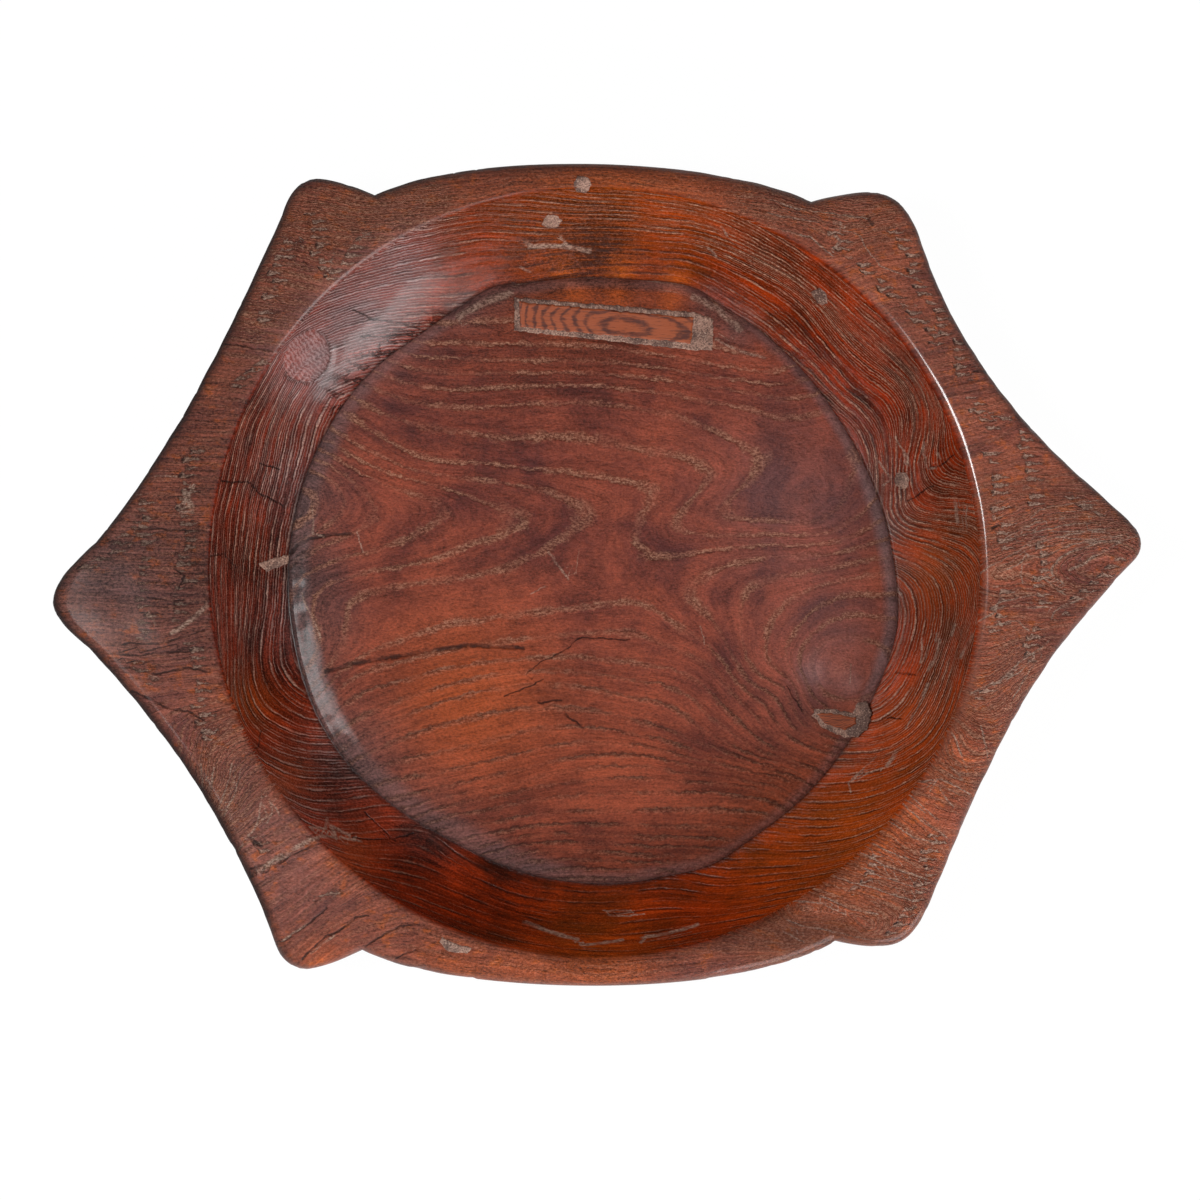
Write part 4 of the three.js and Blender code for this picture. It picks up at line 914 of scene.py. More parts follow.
def carve():
    """The whole plank as one closed mesh: floor, wall, rim, side, belly and foot."""
    direction, reach = plank_columns()
    around = np.stack([np.cos(np.radians(direction)), np.sin(np.radians(direction))], -1)
    plank = PlankMesh()
    curves = section(direction, reach)
    start = curves[0][2][0]

    def ring(profile, every=1, up=0.0, unrolled=0.0):
        plan = HUB + around * profile[:, :1]
        unrolled = np.broadcast_to(unrolled, len(plan))
        return plank.add(np.c_[plan, profile[:, 1]][::every], up, unrolled[::every])

    turning = np.r_[direction, direction[0] + 360]
    shoulder = np.r_[start[:, 0], start[:1, 0]]
    columns = np.arange(COLUMNS + 1)

    def spot(radius, share, height):
        angle = math.radians(np.interp(share * COLUMNS, columns, turning))
        return HUB[0] + radius * math.cos(angle), HUB[1] + radius * math.sin(angle), height

    def on_floor(level, share):
        radius = level * np.interp(share * COLUMNS, columns, shoulder)
        return spot(radius, share, FLOOR_HEIGHT + FLOOR_DOME * (1 - level ** 2))

    def on_foot(level, share):
        return spot(level * FOOT_FLAT, share, 0.0)

    last = ring(start)
    plank.disc(ON_FLOOR, last, on_floor, True)
    coarse = False
    unrolled = start[:, 0]
    for number, (surface, steps, controls) in enumerate(curves):
        climb = 0.0
        before = controls[0]
        for k in range(1, steps + 1):
            here = bend(controls, k / steps)
            climb = climb + np.hypot(*(here - before).T)
            unrolled = unrolled + np.hypot(*(here - before).T)
            before = here
            if number == BELLY_CURVE and not coarse:
                new = ring(here, 2)
                plank.halve(surface, last, new)
                coarse = True
            elif coarse:
                new = ring(here, 2)
                plank.band(surface, last, new)
            else:
                new = ring(here, 1, climb if surface == ON_WALL else 0.0, unrolled)
                plank.band(surface, last, new)
            last = new
    plank.disc(ON_UNDERSIDE, last, on_foot, False)
    return plank


# What is read off for every place

def mark_reading(places, marks):
    """For each place the nearest mark: how far beside its middle line, its half width, and how near."""
    out = np.zeros((len(places), 3))
    out[:] = NO_MARK
    best = np.full(len(places), 1e9)
    for half, way in marks:
        way = np.array(way, float)
        low, high = way.min(0) - MARK_ROOM, way.max(0) + MARK_ROOM
        near = np.flatnonzero(((places > low) & (places < high)).all(1))
        if not len(near):
            continue
        here = places[near]
        gap = np.full(len(near), 1e9)
        beside = np.zeros(len(near))
        beyond = np.zeros(len(near))
        for k, (a, b) in enumerate(zip(way[:-1], way[1:])):
            length = np.hypot(*(b - a))
            along = (b - a) / length
            t = (here - a) @ along
            off = (here - a) @ np.array([-along[1], along[0]])
            over = np.maximum(-t, 0) * (k == 0) + np.maximum(t - length, 0) * (k == len(way) - 2)
            held = np.clip(t, 0, length)
            distance = np.hypot(off, t - held)
            side = np.where(off >= 0, 1, -1) * np.hypot(off, np.where(over > 0, 0, t - held))
            closer = distance < gap
            gap[closer], beside[closer], beyond[closer] = distance[closer], side[closer], over[closer]
        strength = np.clip(1.6 - np.abs(beside) / (half + 2.6), 0, 1) * np.clip(1 - beyond / 2.4, 0, 1)
        score = gap / max(half, 0.8)
        better = score < best[near]
        picked = near[better]
        best[picked] = score[better]
        out[picked] = np.stack([beside, np.full(len(near), half), strength], -1)[better]
    return out


def near_ways(plan, ways):
    """How near each place is to one of the ways, from 0 to 1."""
    near = np.zeros(len(plan))
    for wide, way in ways:
        way = np.array(way, float)
        for a, b in zip(way[:-1], way[1:]):
            length = np.hypot(*(b - a))
            along = (b - a) / length
            t = np.clip((plan - a) @ along, 0, length)
            gap = np.hypot(*(plan - a - t[:, None] * along).T)
            near = np.maximum(near, np.clip(1.5 - gap / wide, 0, 1))
    return near


def dart_reading(plan):
    """For each place the row of darts about it: how far right of the row, how near, and its number."""
    out = np.zeros((len(plan), 3))
    best = np.full(len(plan), 1e9)
    for number, way in enumerate(DART_ROWS):
        way = np.array(sorted(way, key=lambda spot: spot[1]), float)
        beside = plan[:, 0] - np.interp(plan[:, 1], way[:, 1], way[:, 0])
        above = np.clip((plan[:, 1] - way[0, 1]) / 3 + 1, 0, 1)
        below = np.clip((way[-1, 1] - plan[:, 1]) / 3 + 1, 0, 1)
        near = above * below * np.clip((beside + 8) / 3, 0, 1) * np.clip((14 - beside) / 3, 0, 1)
        better = (near > 0) & (np.abs(beside - 3) < best)
        best[better] = np.abs(beside - 3)[better]
        out[better] = np.stack([beside, near, np.full(len(plan), number)], -1)[better]
    return out


def tone_reading(places):
    """How much lighter, warmer and greyer each place is painted: the wood's own tone, with painted light,
    shade and sheen in some spots.
    """
    out = np.zeros((len(places), 3))
    for x, y, spread, *by in TONES:
        near = np.exp(-((places[:, :2] - (x, y)) ** 2).sum(-1) / spread ** 2)
        out += near[:, None] * by
    return out


def painted_edge_shade(direction):
    """Painted shade on the outer edge: nearly black on the left, and brown at the bottom."""
    at = [145, 226, 233, 300, 320, 345, 400, 440, 460, 505]
    return np.interp(direction, at, [1.3, 1.2, 0.5, 0.4, 0.55, 0.6, 0.8, 0.8, 1, 1.3])


def painted_crevice_shade(direction, distance, up):
    """Painted shade in the crevice round the floor, most on the left and at the bottom."""
    at = [145, 160, 270, 320, 350, 420, 470, 505]
    wide = np.interp(direction, at, [2.4, 3.4, 3.4, 2.6, 1.6, 1.2, 1.6, 2.4])
    edge = floor_radius(direction)
    below = 1 - smooth(edge - distance, 0, wide * 0.5)
    above = 1 - smooth(up, 0, wide)
    inside = distance < edge + 1e-6
    return np.where(inside, below, np.where(up > 0, above, 0)) * np.interp(wide, [1.2, 5], [0.55, 0.9])


def mouth_polish(direction):
    """How much the rounded mouth is rubbed to a gloss, most on the right."""
    at = [145, 165, 195, 300, 320, 340, 395, 412, 450, 478, 490, 505]
    return np.interp(direction, at, [0.4, 0.3, 0.15, 0.15, 0.4, 0.85, 0.85, 0.3, 0.2, 0.15, 0.4, 0.4])


def lined_wall(direction, up):
    """How many of the fine ring lines show on the wall, most on the right and higher up."""
    at = [145, 175, 210, 250, 300, 340, 420, 448, 470, 485, 505]
    most = np.interp(direction, at, [0.5, 0.45, 0.35, 0.15, 0.2, 0.7, 0.8, 0.35, 0.35, 0.8, 0.6])
    low = np.interp(direction, at, [1, 1, 0.8, 0.8, 0.8, 0.9, 0.5, 0.3, 0.4, 1, 1])
    return most * (low + (1 - low) * smooth(up, 22, 44))


def put_attribute(mesh, name, values):
    layer = mesh.attributes.new(name, "FLOAT_VECTOR", "CORNER")
    layer.data.foreach_set("vector", np.ascontiguousarray(values, np.float32).ravel())


def lay_out(mesh, skin):
    """The flat layout of the surface: the top unrolled from its middle, and the back small in a corner."""
    out = skin.places[:, :2] - HUB
    distance = np.hypot(*out.T)
    flat = out * (np.maximum(skin.unrolled, distance) / distance.clip(1))[:, None]
    on_back = skin.corner_surface == ON_UNDERSIDE
    top, back = flat[skin.corners[~on_back]], out[skin.corners[on_back]]
    middle = (top.max(0) + top.min(0)) / 2
    spots = np.zeros((len(skin.corners), 2))
    spots[~on_back] = 0.5 + (top - middle) * 0.98 / np.ptp(top[:, 0])
    spots[on_back] = BACK_SPOT + back * (-1, 1) * BACK_SHARE / np.ptp(back[:, 0])
    layer = mesh.uv_layers.new(name="OFBake")
    layer.data.foreach_set("uv", spots.astype(np.float32).ravel())


def rubbed_shoulder_sheen(direction, within):
    """The rubbed band along the edge of the floor, broadest on the left, painted with a grey sheen."""
    at = [145, 160, 190, 250, 270, 300, 320, 345, 375, 400, 420, 450, 480, 505]
    wide = np.interp(direction, at, [14, 20, 24, 22, 12, 8, 9, 13, 13, 9, 8, 10, 12, 14])
    greys = [0.5, 0.65, 0.65, 0.5, 0.5, 0.35, 0.4, 0.75, 0.75, 0.5, 0.5, 0.6, 0.5, 0.5]
    grey = np.interp(direction, at, greys)
    return grey * (1 - smooth(within, wide * 0.35, wide))


# The worn bowl

class Skin:
    """The carved surface while it is marked: its places, and which of them each surface holds. A reading
    gives three values for every place, once for each surface, since two surfaces can meet there."""

    def __init__(self):
        plank = carve()
        self.faces = plank.faces
        self.places = np.array(plank.places)
        self.up = np.array(plank.up)
        self.unrolled = np.array(plank.unrolled)
        self.surfaces = np.array(plank.surfaces)
        self.corner_counts = np.array([len(f) for f in self.faces])
        self.corners = np.concatenate([np.array(f) for f in self.faces])
        self.corner_surface = np.repeat(self.surfaces, self.corner_counts)
        self.direction, self.distance = unwrapped(self.places)
        self.within = floor_radius(self.direction) - self.distance
        self.floor, self.wall, self.rim, self.back = (
            self.held_by(surface) for surface in (ON_FLOOR, ON_WALL, ON_RIM, ON_UNDERSIDE)
        )

    def held_by(self, surface):
        held = np.zeros(len(self.places), bool)
        held[self.corners[self.corner_surface == surface]] = True
        return np.flatnonzero(held)

    def among(self, those):
        return np.isin(np.arange(len(self.places)), those)

    def reading(self, start=(0, 0, 0)):
        out = np.zeros((4, len(self.places), 3))
        out[:] = start
        return out

    def reach_at(self, those):
        """How far the plank reaches in the direction of each of those places."""
        columns, reach = plank_columns()
        return np.interp(self.direction[those], columns, reach, period=360)


def growth_reading(skin):
    """At every face corner the count of growth rings, and the room that one of them takes."""
    plan = skin.places[:, :2]
    wall_field = RingField(WALL_GRAIN, DIRECTION_MM)
    growth = skin.reading()
    for surface, those, field, spots in (
        (ON_FLOOR, skin.floor, RingField(FLOOR_GRAIN), plan),
        (ON_WALL, skin.wall, wall_field, np.stack([skin.direction, skin.up], -1)),
        (ON_RIM, skin.rim, RingField(RIM_GRAIN), plan),
    ):
        growth[surface, those, :2] = np.stack(field.read(spots[those]), -1)
    from_heart = np.hypot(*(skin.places[skin.back, 1:] - HEARTWOOD).T)
    growth[ON_UNDERSIDE, skin.back, 0] = from_heart / BACK_RING
    growth[ON_UNDERSIDE, skin.back, 1] = BACK_RING
    at_corners = growth[skin.corner_surface, skin.corners]

    # across the knot the count ends on one side and begins on the other
    starts = np.r_[0, np.cumsum(skin.corner_counts)[:-1]]
    direction = skin.direction[skin.corners]
    span = np.maximum.reduceat(direction, starts) - np.minimum.reduceat(direction, starts)
    torn = np.repeat((span > 180) & (skin.surfaces == ON_WALL), skin.corner_counts)
    torn &= direction < KNOT_DIRECTION + 90
    seam = skin.corners[torn]
    once_round = np.stack([skin.direction[seam] + 360, skin.up[seam]], -1)
    at_corners[torn, :2] = np.stack(wall_field.read(once_round), -1)
    return at_corners


def place_reading(skin):
    """How much a place belongs to the wall, and how much to the rim or the back."""
    past_mouth = smooth(skin.distance[skin.rim], MOUTH - 1, MOUTH + 2.5)
    place = skin.reading()
    place[ON_WALL, skin.wall, 0] = 1
    place[ON_RIM, skin.rim, 0] = 1 - past_mouth
    place[ON_RIM, skin.rim, 1] = past_mouth
    place[ON_UNDERSIDE, skin.back, 1] = 1
    return place


def marks_reading(skin, on_floor, on_wall, on_rim):
    """The marks of one kind on all three surfaces."""
    wall_place = np.stack([skin.direction * DIRECTION_MM, skin.up], -1)
    wall_marks = [
        (half, [((at + 360 * (at < KNOT_DIRECTION)) * DIRECTION_MM, up) for at, up in way])
        for half, way in on_wall
    ]
    marks = skin.reading(NO_MARK)
    marks[ON_FLOOR, skin.floor] = mark_reading(skin.places[skin.floor, :2], on_floor)
    marks[ON_WALL, skin.wall] = mark_reading(wall_place[skin.wall], wall_marks)
    marks[ON_RIM, skin.rim] = mark_reading(skin.places[skin.rim, :2], on_rim)
    return marks


def knot_reading(skin):
    """Where a place lies across and up the oval knot, in its half sizes. Off the wall it is far away."""
    centre, height, wide, tall = WALL_KNOT
    across = turn_between(centre, skin.direction[skin.wall]) * DIRECTION_MM
    knot = skin.reading((9, 9, 0))
    knot[ON_WALL, skin.wall, 0] = across / wide
    knot[ON_WALL, skin.wall, 1] = (skin.up[skin.wall] - height) / tall
    return knot


def darts_reading(skin):
    darts = skin.reading()
    darts[ON_RIM, skin.rim] = dart_reading(skin.places[skin.rim, :2])
    return darts


def edge_shade_and_finish_reading(skin):
    """The painted shade on the outer edge, how lined the wood is, and the shoulder of the floor or the rim.
    """
    floor, wall, rim = skin.floor, skin.wall, skin.rim
    distance, reach = skin.distance[rim], skin.reach_at(rim)
    # painted shade on the outer edge, darker by its direction and strongest on its upper rounding
    edge_shade = smooth(distance, reach - 8, reach - 0.5) * painted_edge_shade(skin.direction[rim])
    edge_shade_and_finish = skin.reading()
    edge_shade_and_finish[ON_RIM, rim, 0] = edge_shade * (0.2 + 0.8 * smooth(skin.places[rim, 2], 66, 79))
    edge_shade_and_finish[ON_RIM, rim, 1] = near_ways(skin.places[rim, :2], LINED_RIM)
    edge_shade_and_finish[ON_WALL, wall, 1] = lined_wall(skin.direction[wall], skin.up[wall])
    edge_shade_and_finish[ON_FLOOR, floor, 2] = 1 - smooth(skin.within[floor], 4, 40)
    edge_shade_and_finish[ON_RIM, rim, 2] = smooth(distance, reach - 9, reach - 2)
    return edge_shade_and_finish


def tones_reading(skin):
    tone = np.repeat(tone_reading(skin.places)[None], 4, 0)
    rubbed_sheen = rubbed_shoulder_sheen(skin.direction, skin.within)
    # painted grey sheen on the floor's rubbed shoulder
    tone[ON_FLOOR, :, 2] = np.maximum(tone[ON_FLOOR, :, 2], rubbed_sheen)
    return tone


def wear_and_shade_reading(skin):
    """Chips in the wall, painted shade in the crevice, and the gloss of the rubbed mouth."""
    rubbed_sheen = mouth_polish(skin.direction[skin.rim])
    past_mouth = skin.distance[skin.rim] - MOUTH
    wear_and_shade = skin.reading()
    wear_and_shade[ON_WALL, skin.wall, 0] = near_ways(skin.places[skin.wall, :2], CHIPPED)
    # painted shade in the crevice round the floor
    wear_and_shade[:, :, 1] = painted_crevice_shade(skin.direction, skin.distance, skin.up)
    wear_and_shade[ON_RIM, skin.rim, 2] = (1 - smooth(past_mouth, 1 + 2.4 * rubbed_sheen, 3 + 6 * rubbed_sheen)) * rubbed_sheen
    return wear_and_shade


def worn_places(skin, knot):
    """The places of the worn surface: uneven floor and wall, the knot, the rim's hollows and nicks."""
    places, direction, distance = skin.places.copy(), skin.direction, skin.distance
    outward = np.c_[(places[:, :2] - HUB) / distance[:, None].clip(1), np.zeros(len(places))]
    on_floor, on_wall, on_rim = (skin.among(those) for those in (skin.floor, skin.wall, skin.rim))
    places[on_floor, 2] += floor_relief(places[on_floor, :2])

    steep = on_wall & ~on_floor & (distance < MOUTH)
    away = np.hypot(*knot[ON_WALL][steep, :2].T)
    worn = wall_relief(direction[steep], skin.up[steep])
    hump, groove = np.exp(-(away / 0.8) ** 2), np.exp(-((away - 1.02) / 0.09) ** 2)
    worn += KNOT_SWELL * hump - KNOT_SWELL * groove
    places[steep] -= outward[steep] * worn[:, None] * WALL_LEAN
    places[steep, 2] += worn * WALL_LEAN

    flat = on_rim & (distance > MOUTH + 6) & (places[:, 2] > RIM_TOP - 6)
    places[flat, 2] -= 0.25 + 0.22 * wobble(places[flat, :2], 48, 2).clip(-1.1, 1.1)

    outer = on_rim & (np.abs(places[:, 0]) < LONG_END) & (np.abs(places[:, 1]) < WIDE_END)
    outer &= distance > MOUTH + MOUTH_MARGIN + 1
    nicks = (wobble(places[outer], 11, 8) - 0.7).clip(0, 1)
    nicks += (0.3 + 0.3 * wobble(places[outer], 26, 3)).clip(0, 0.6)
    reach = skin.reach_at(outer)
    nicks *= smooth(distance[outer], reach - 9, reach - 1)
    places[outer] -= outward[outer] * nicks[:, None] * 0.8

    for bed in (PATCH_BED, KNOT_BED):
        places[:, 2] -= BED_DEPTH * (on_floor & (inside_by(places[:, :2], bed) > BED_MARGIN))
    return np.clip(places, np.array(cad_box[0]) / MM, np.array(cad_box[1]) / MM)


def carved_bowl():
    skin = Skin()
    knot = knot_reading(skin)
    mesh = bpy.data.meshes.new("carved_bowl")
    faces = [list(map(int, f)) for f in skin.faces]
    mesh.from_pydata((worn_places(skin, knot) * MM).tolist(), [], faces)
    mesh.shade_smooth()
    lay_out(mesh, skin)
    put_attribute(mesh, "growth", growth_reading(skin))
    for name, values in (
        ("place", place_reading(skin)),
        ("dark", marks_reading(skin, FLOOR_CRACKS, WALL_CRACKS, RIM_CRACKS)),
        ("light", marks_reading(skin, FLOOR_SCRATCHES, WALL_SCRATCHES, RIM_SCRATCHES)),
        ("knot", knot),
        ("darts", darts_reading(skin)),
        ("edge_shade_and_finish", edge_shade_and_finish_reading(skin)),
        ("tone", tones_reading(skin)),
        ("wear_and_shade", wear_and_shade_reading(skin)),
    ):
        put_attribute(mesh, name, values[skin.corner_surface, skin.corners])
    piece = bpy.data.objects.new("carved_bowl", mesh)
    bpy.context.scene.collection.objects.link(piece)
    return piece


def inside_by(plan, outline):
    """How far inside the outline each place is, in millimetres. It is below 0 outside."""
    outline = np.array(outline, float)
    gap = np.full(len(plan), 1e9)
    crossings = np.zeros(len(plan), int)
    for a, b in zip(outline, np.roll(outline, -1, 0)):
        edge = b - a
        t = np.clip(((plan - a) @ edge) / (edge @ edge), 0, 1)
        gap = np.minimum(gap, np.hypot(*(plan - a - t[:, None] * edge).T))
        level = (a[1] > plan[:, 1]) != (b[1] > plan[:, 1])
        with np.errstate(divide="ignore", invalid="ignore"):
            cut = a[0] + (plan[:, 1] - a[1]) * edge[0] / edge[1]
        crossings += level & (plan[:, 0] < cut)
    return np.where(crossings % 2 == 1, gap, -gap)


# Shading

def tint(red, green, blue):
    """A colour given as it looks, from 0 to 255, as the shader takes it."""
    parts = [c / 255 for c in (red, green, blue)]
    return tuple(c / 12.92 if c <= 0.04045 else ((c + 0.055) / 1.055) ** 2.4 for c in parts) + (1.0,)


class Flow:
    """A value on its way through a shader. Arithmetic on it adds the nodes that work it out."""

    def __init__(self, shader, socket):
        self.shader = shader
        self.socket = socket

    def math(self, operation, *others, turned=False):
        parts = (others[0], self) if turned else (self,) + others
        wide = any(
            isinstance(p, tuple) or isinstance(p, Flow) and p.socket.type != "VALUE" for p in parts
        )
        kind = "ShaderNodeVectorMath" if wide else "ShaderNodeMath"
        parts = [(p,) * 3 if wide and isinstance(p, (int, float)) else p for p in parts]
        return self.shader.node(kind, {"operation": operation}, dict(enumerate(parts)))

    def __add__(self, other):
        return self.math("ADD", other)

    __radd__ = __add__

    def __sub__(self, other):
        return self.math("SUBTRACT", other)

    def __rsub__(self, other):
        return self.math("SUBTRACT", other, turned=True)

    def __mul__(self, other):
        return self.math("MULTIPLY", other)

    __rmul__ = __mul__

    def __truediv__(self, other):
        return self.math("DIVIDE", other)

    def __rtruediv__(self, other):
        return self.math("DIVIDE", other, turned=True)

    def __pow__(self, other):
        return self.math("POWER", other)

    def __abs__(self):
        return self.math("ABSOLUTE")

    def fract(self):
        return self.math("FRACT")

    def floor(self):
        return self.math("FLOOR")

    def wave(self):
        """1 at every whole number and -1 half way between."""
        return (self * (2 * math.pi)).math("COSINE")

    def least(self, other):
        return self.math("MINIMUM", other)

    def most(self, other):
        return self.math("MAXIMUM", other)

    def step(self, start, end, low=0.0, high=1.0):
        """A soft step from low to high as the value goes from start to end."""
        settings = {"interpolation_type": "SMOOTHSTEP"}
        inputs = {0: self, 1: start, 2: end, 3: low, 4: high}
        return self.shader.node("ShaderNodeMapRange", settings, inputs)

    def parts(self):
        node = self.shader.place("ShaderNodeSeparateXYZ", {}, {0: self})
        return [Flow(self.shader, out) for out in node.outputs]


class Shader:
    """A material under work, with the values that its nodes give."""

    def __init__(self, name):
        self.material = bpy.data.materials.new(name)
        self.material.use_nodes = True
        self.tree = self.material.node_tree
        self.surface = self.tree.nodes["Principled BSDF"]

    def place(self, kind, settings, inputs):
        node = self.tree.nodes.new(kind)
        for key, value in settings.items():
            setattr(node, key, value)
        for key, value in inputs.items():
            if isinstance(value, Flow):
                self.tree.links.new(value.socket, node.inputs[key])
            else:
                node.inputs[key].default_value = value
        return node

    def node(self, kind, settings, inputs, output=0):
        return Flow(self, self.place(kind, settings, inputs).outputs[output])

    def mix(self, first, second, share):
        """The first colour where the share is 0 and the second where it is 1."""
        return self.node("ShaderNodeMix", {"data_type": "RGBA"}, {0: share, 6: first, 7: second}, 2)

    def attribute(self, name):
        return self.node("ShaderNodeAttribute", {"attribute_name": name}, {}, "Vector")

    def millimetres(self):
        return self.node("ShaderNodeTexCoord", {}, {}, "Object") * (1 / MM)

    def join(self, x, y, z=0.0):
        return self.node("ShaderNodeCombineXYZ", {}, {0: x, 1: y, 2: z})

    def noise(self, vector, scale=1.0, detail=2.0, rough=0.5):
        inputs = {"Vector": vector, "Scale": scale, "Detail": detail, "Roughness": rough}
        return self.node("ShaderNodeTexNoise", {}, inputs)

    def dice(self, vector):
        """Three numbers from 0 to 1, the same for the same whole numbers."""
        return self.node("ShaderNodeTexWhiteNoise", {}, {"Vector": vector}, "Color").parts()

    def bumped(self, height):
        """The height in millimetres, felt by the light."""
        inputs = {"Height": height, "Distance": MM, "Strength": 1.0}
        self.feed("Normal", self.node("ShaderNodeBump", {}, inputs, "Normal"))

    def feed(self, name, value):
        if isinstance(value, Flow):
            self.tree.links.new(value.socket, self.surface.inputs[name])
        else:
            self.surface.inputs[name].default_value = value


def mark_share(shader, name, rough, spread):
    """How much of a mark shows here: its middle line widened to its half width, with an uneven edge."""
    beside, half, near = shader.attribute(name).parts()
    away = abs(beside + rough * spread)
    return (away / half).step(1.2, 0.3) * near.step(0.1, 0.5)


def ring_lines(shader, spot, wall, drift, ragged):
    """The count of rings, and where each ends: a band of large pores that pale grains fill, and the
    groove beside it."""
    x, y, z = spot.parts()
    rings, pace, _ = shader.attribute("growth").parts()
    count = rings + (drift * 2.4 + ragged * (6.0 - wall * 3.5)) / pace
    from_line = ((count + 0.5).fract() - 0.5) * pace
    which = (count + 0.5).floor() * 7.31
    here = shader.join(x * 0.03, y * 0.03 + which, z * 0.02)
    strength = shader.noise(here, 1.0, 3.0, 0.65).step(0.38, 0.6)
    wide = shader.noise(here, 2.2, 2.0).step(0.35, 0.7, 0.9, 2.1) * (pace * 0.08 + 0.6)
    band = (abs(from_line) / (wide * (1.0 - wall * 0.45))).step(1.0, 0.3) * (0.2 + strength * 0.8)
    groove = from_line.step(-0.4, 0.5) * from_line.step(2.6, 0.9) * strength
    return count, band, groove


def finer_lines(shader, spot, wall, count, grit):
    """Two finer rings between every two, each a pale line and a groove."""
    x, y, z = spot.parts()
    _, pace, _ = shader.attribute("growth").parts()
    _, lined, _ = shader.attribute("edge_shade_and_finish").parts()
    _, _, greyer = shader.attribute("tone").parts()
    from_line = ((count * 3.0 + 0.5).fract() - 0.5) * pace / 3.0
    which = (count * 3.0 + 0.5).floor() * 5.17
    along = shader.noise(shader.join(x * 0.02, y * 0.02 + which, z * 0.02), 1.0, 4.0, 0.7)
    # more fine lines show in the wall's painted sheen, as painted highlights on its ridges
    clear = (along + lined * 0.28 + greyer * wall * 0.2).step(0.58, 0.74)
    line = (abs(from_line) + grit * 0.4).step(0.45, 0.12) * (clear * 0.92 + 0.08)
    groove = abs(from_line - 0.55).step(0.5, 0.15) * (clear * 0.7 + 0.2)
    return line, groove


def wall_knot(shader, drift, ragged):
    """The oval knot high in the wall, with its own fine upright lines and the groove around it."""
    across, upright, _ = shader.attribute("knot").parts()
    oval = (across * across + upright * upright) ** 0.5 + ragged * 0.3
    inside = oval.step(1.06, 0.96)
    lines = abs((across * 6.5 + drift * 5.0 + ragged * 3.0).fract() - 0.5).step(0.3, 0.1)
    groove = oval.step(0.92, 1.0) * oval.step(1.12, 1.04) * drift.step(-0.1, 0.05)
    return inside, lines, groove


def rim_darts(shader, y, ragged, grit):
    """Darts, each a hollow that runs out to the right, then their dark edge and their deepest spot."""
    off, near, number = shader.attribute("darts").parts()
    row = (number + 0.5).floor()
    climb = y / DART_PITCH + row * 3.7 + ragged * 1.3
    first, second, third = shader.dice(shader.join(climb.floor(), row))
    ahead = off - first * 7.5 + 3.0 + ragged * 7.0
    aside = abs((climb.fract() - 0.5) * DART_PITCH + grit * 1.5)
    half = (1.0 - ahead / (second * 8.0 + 6.0)) * (third + 1.2)
    near = near.step(0.3, 0.6) * second.step(0.0, 0.08)
    dart = (half - aside).step(-0.15, 0.3) * ahead.step(-0.8, 0.4) * near
    edge = (half - aside).step(-1.0, -0.2) * ahead.step(-1.8, -0.6) * near * (1.0 - dart)
    hole = (ahead * ahead + aside * aside * 1.6).step(1.8, 0.5) * near * third.step(0.4, 0.6)
    return dart, edge, hole


def stained_wood(shader, spot, wall, rim):
    """The stain on each surface, mottled along the rings, warmer where the wood is so, and greyer where it
    is worn and where a grey sheen is painted on.
    """
    x, y, _ = spot.parts()
    rings, _, _ = shader.attribute("growth").parts()
    _, warmer, greyer = shader.attribute("tone").parts()
    broad = shader.noise(shader.join(rings * 0.5, x * 0.012, y * 0.012), 1.0, 3.0, 0.65)
    cloud = shader.noise(spot, 0.025, 5.0, 0.7)
    stained = broad.step(0.34, 0.66) * 0.5 + cloud.step(0.36, 0.64) * 0.5
    floor_colour = shader.mix(tint(80, 37, 34), tint(145, 70, 50), stained)
    wall_colour = shader.mix(tint(50, 9, 0), tint(162, 47, 2), stained)
    rim_colour = shader.mix(tint(102, 54, 47), tint(156, 86, 64), stained)
    colour = shader.mix(shader.mix(floor_colour, rim_colour, rim), wall_colour, wall)
    colour = shader.mix(colour, tint(186, 84, 18), warmer)
    # painted sheen: mauve grey on the upper left wall and the floor's shoulder, partly worn wood
    colour = shader.mix(colour, tint(118, 96, 96), greyer)
    blots = shader.noise(spot * (0.7, 1.0, 1.0), 0.16, 2.0, 0.6).step(0.52, 0.66)
    blots = blots * cloud.step(0.42, 0.56) * (rim * (1.0 - wall)) * 0.6
    return shader.mix(colour, tint(176, 86, 34), blots)


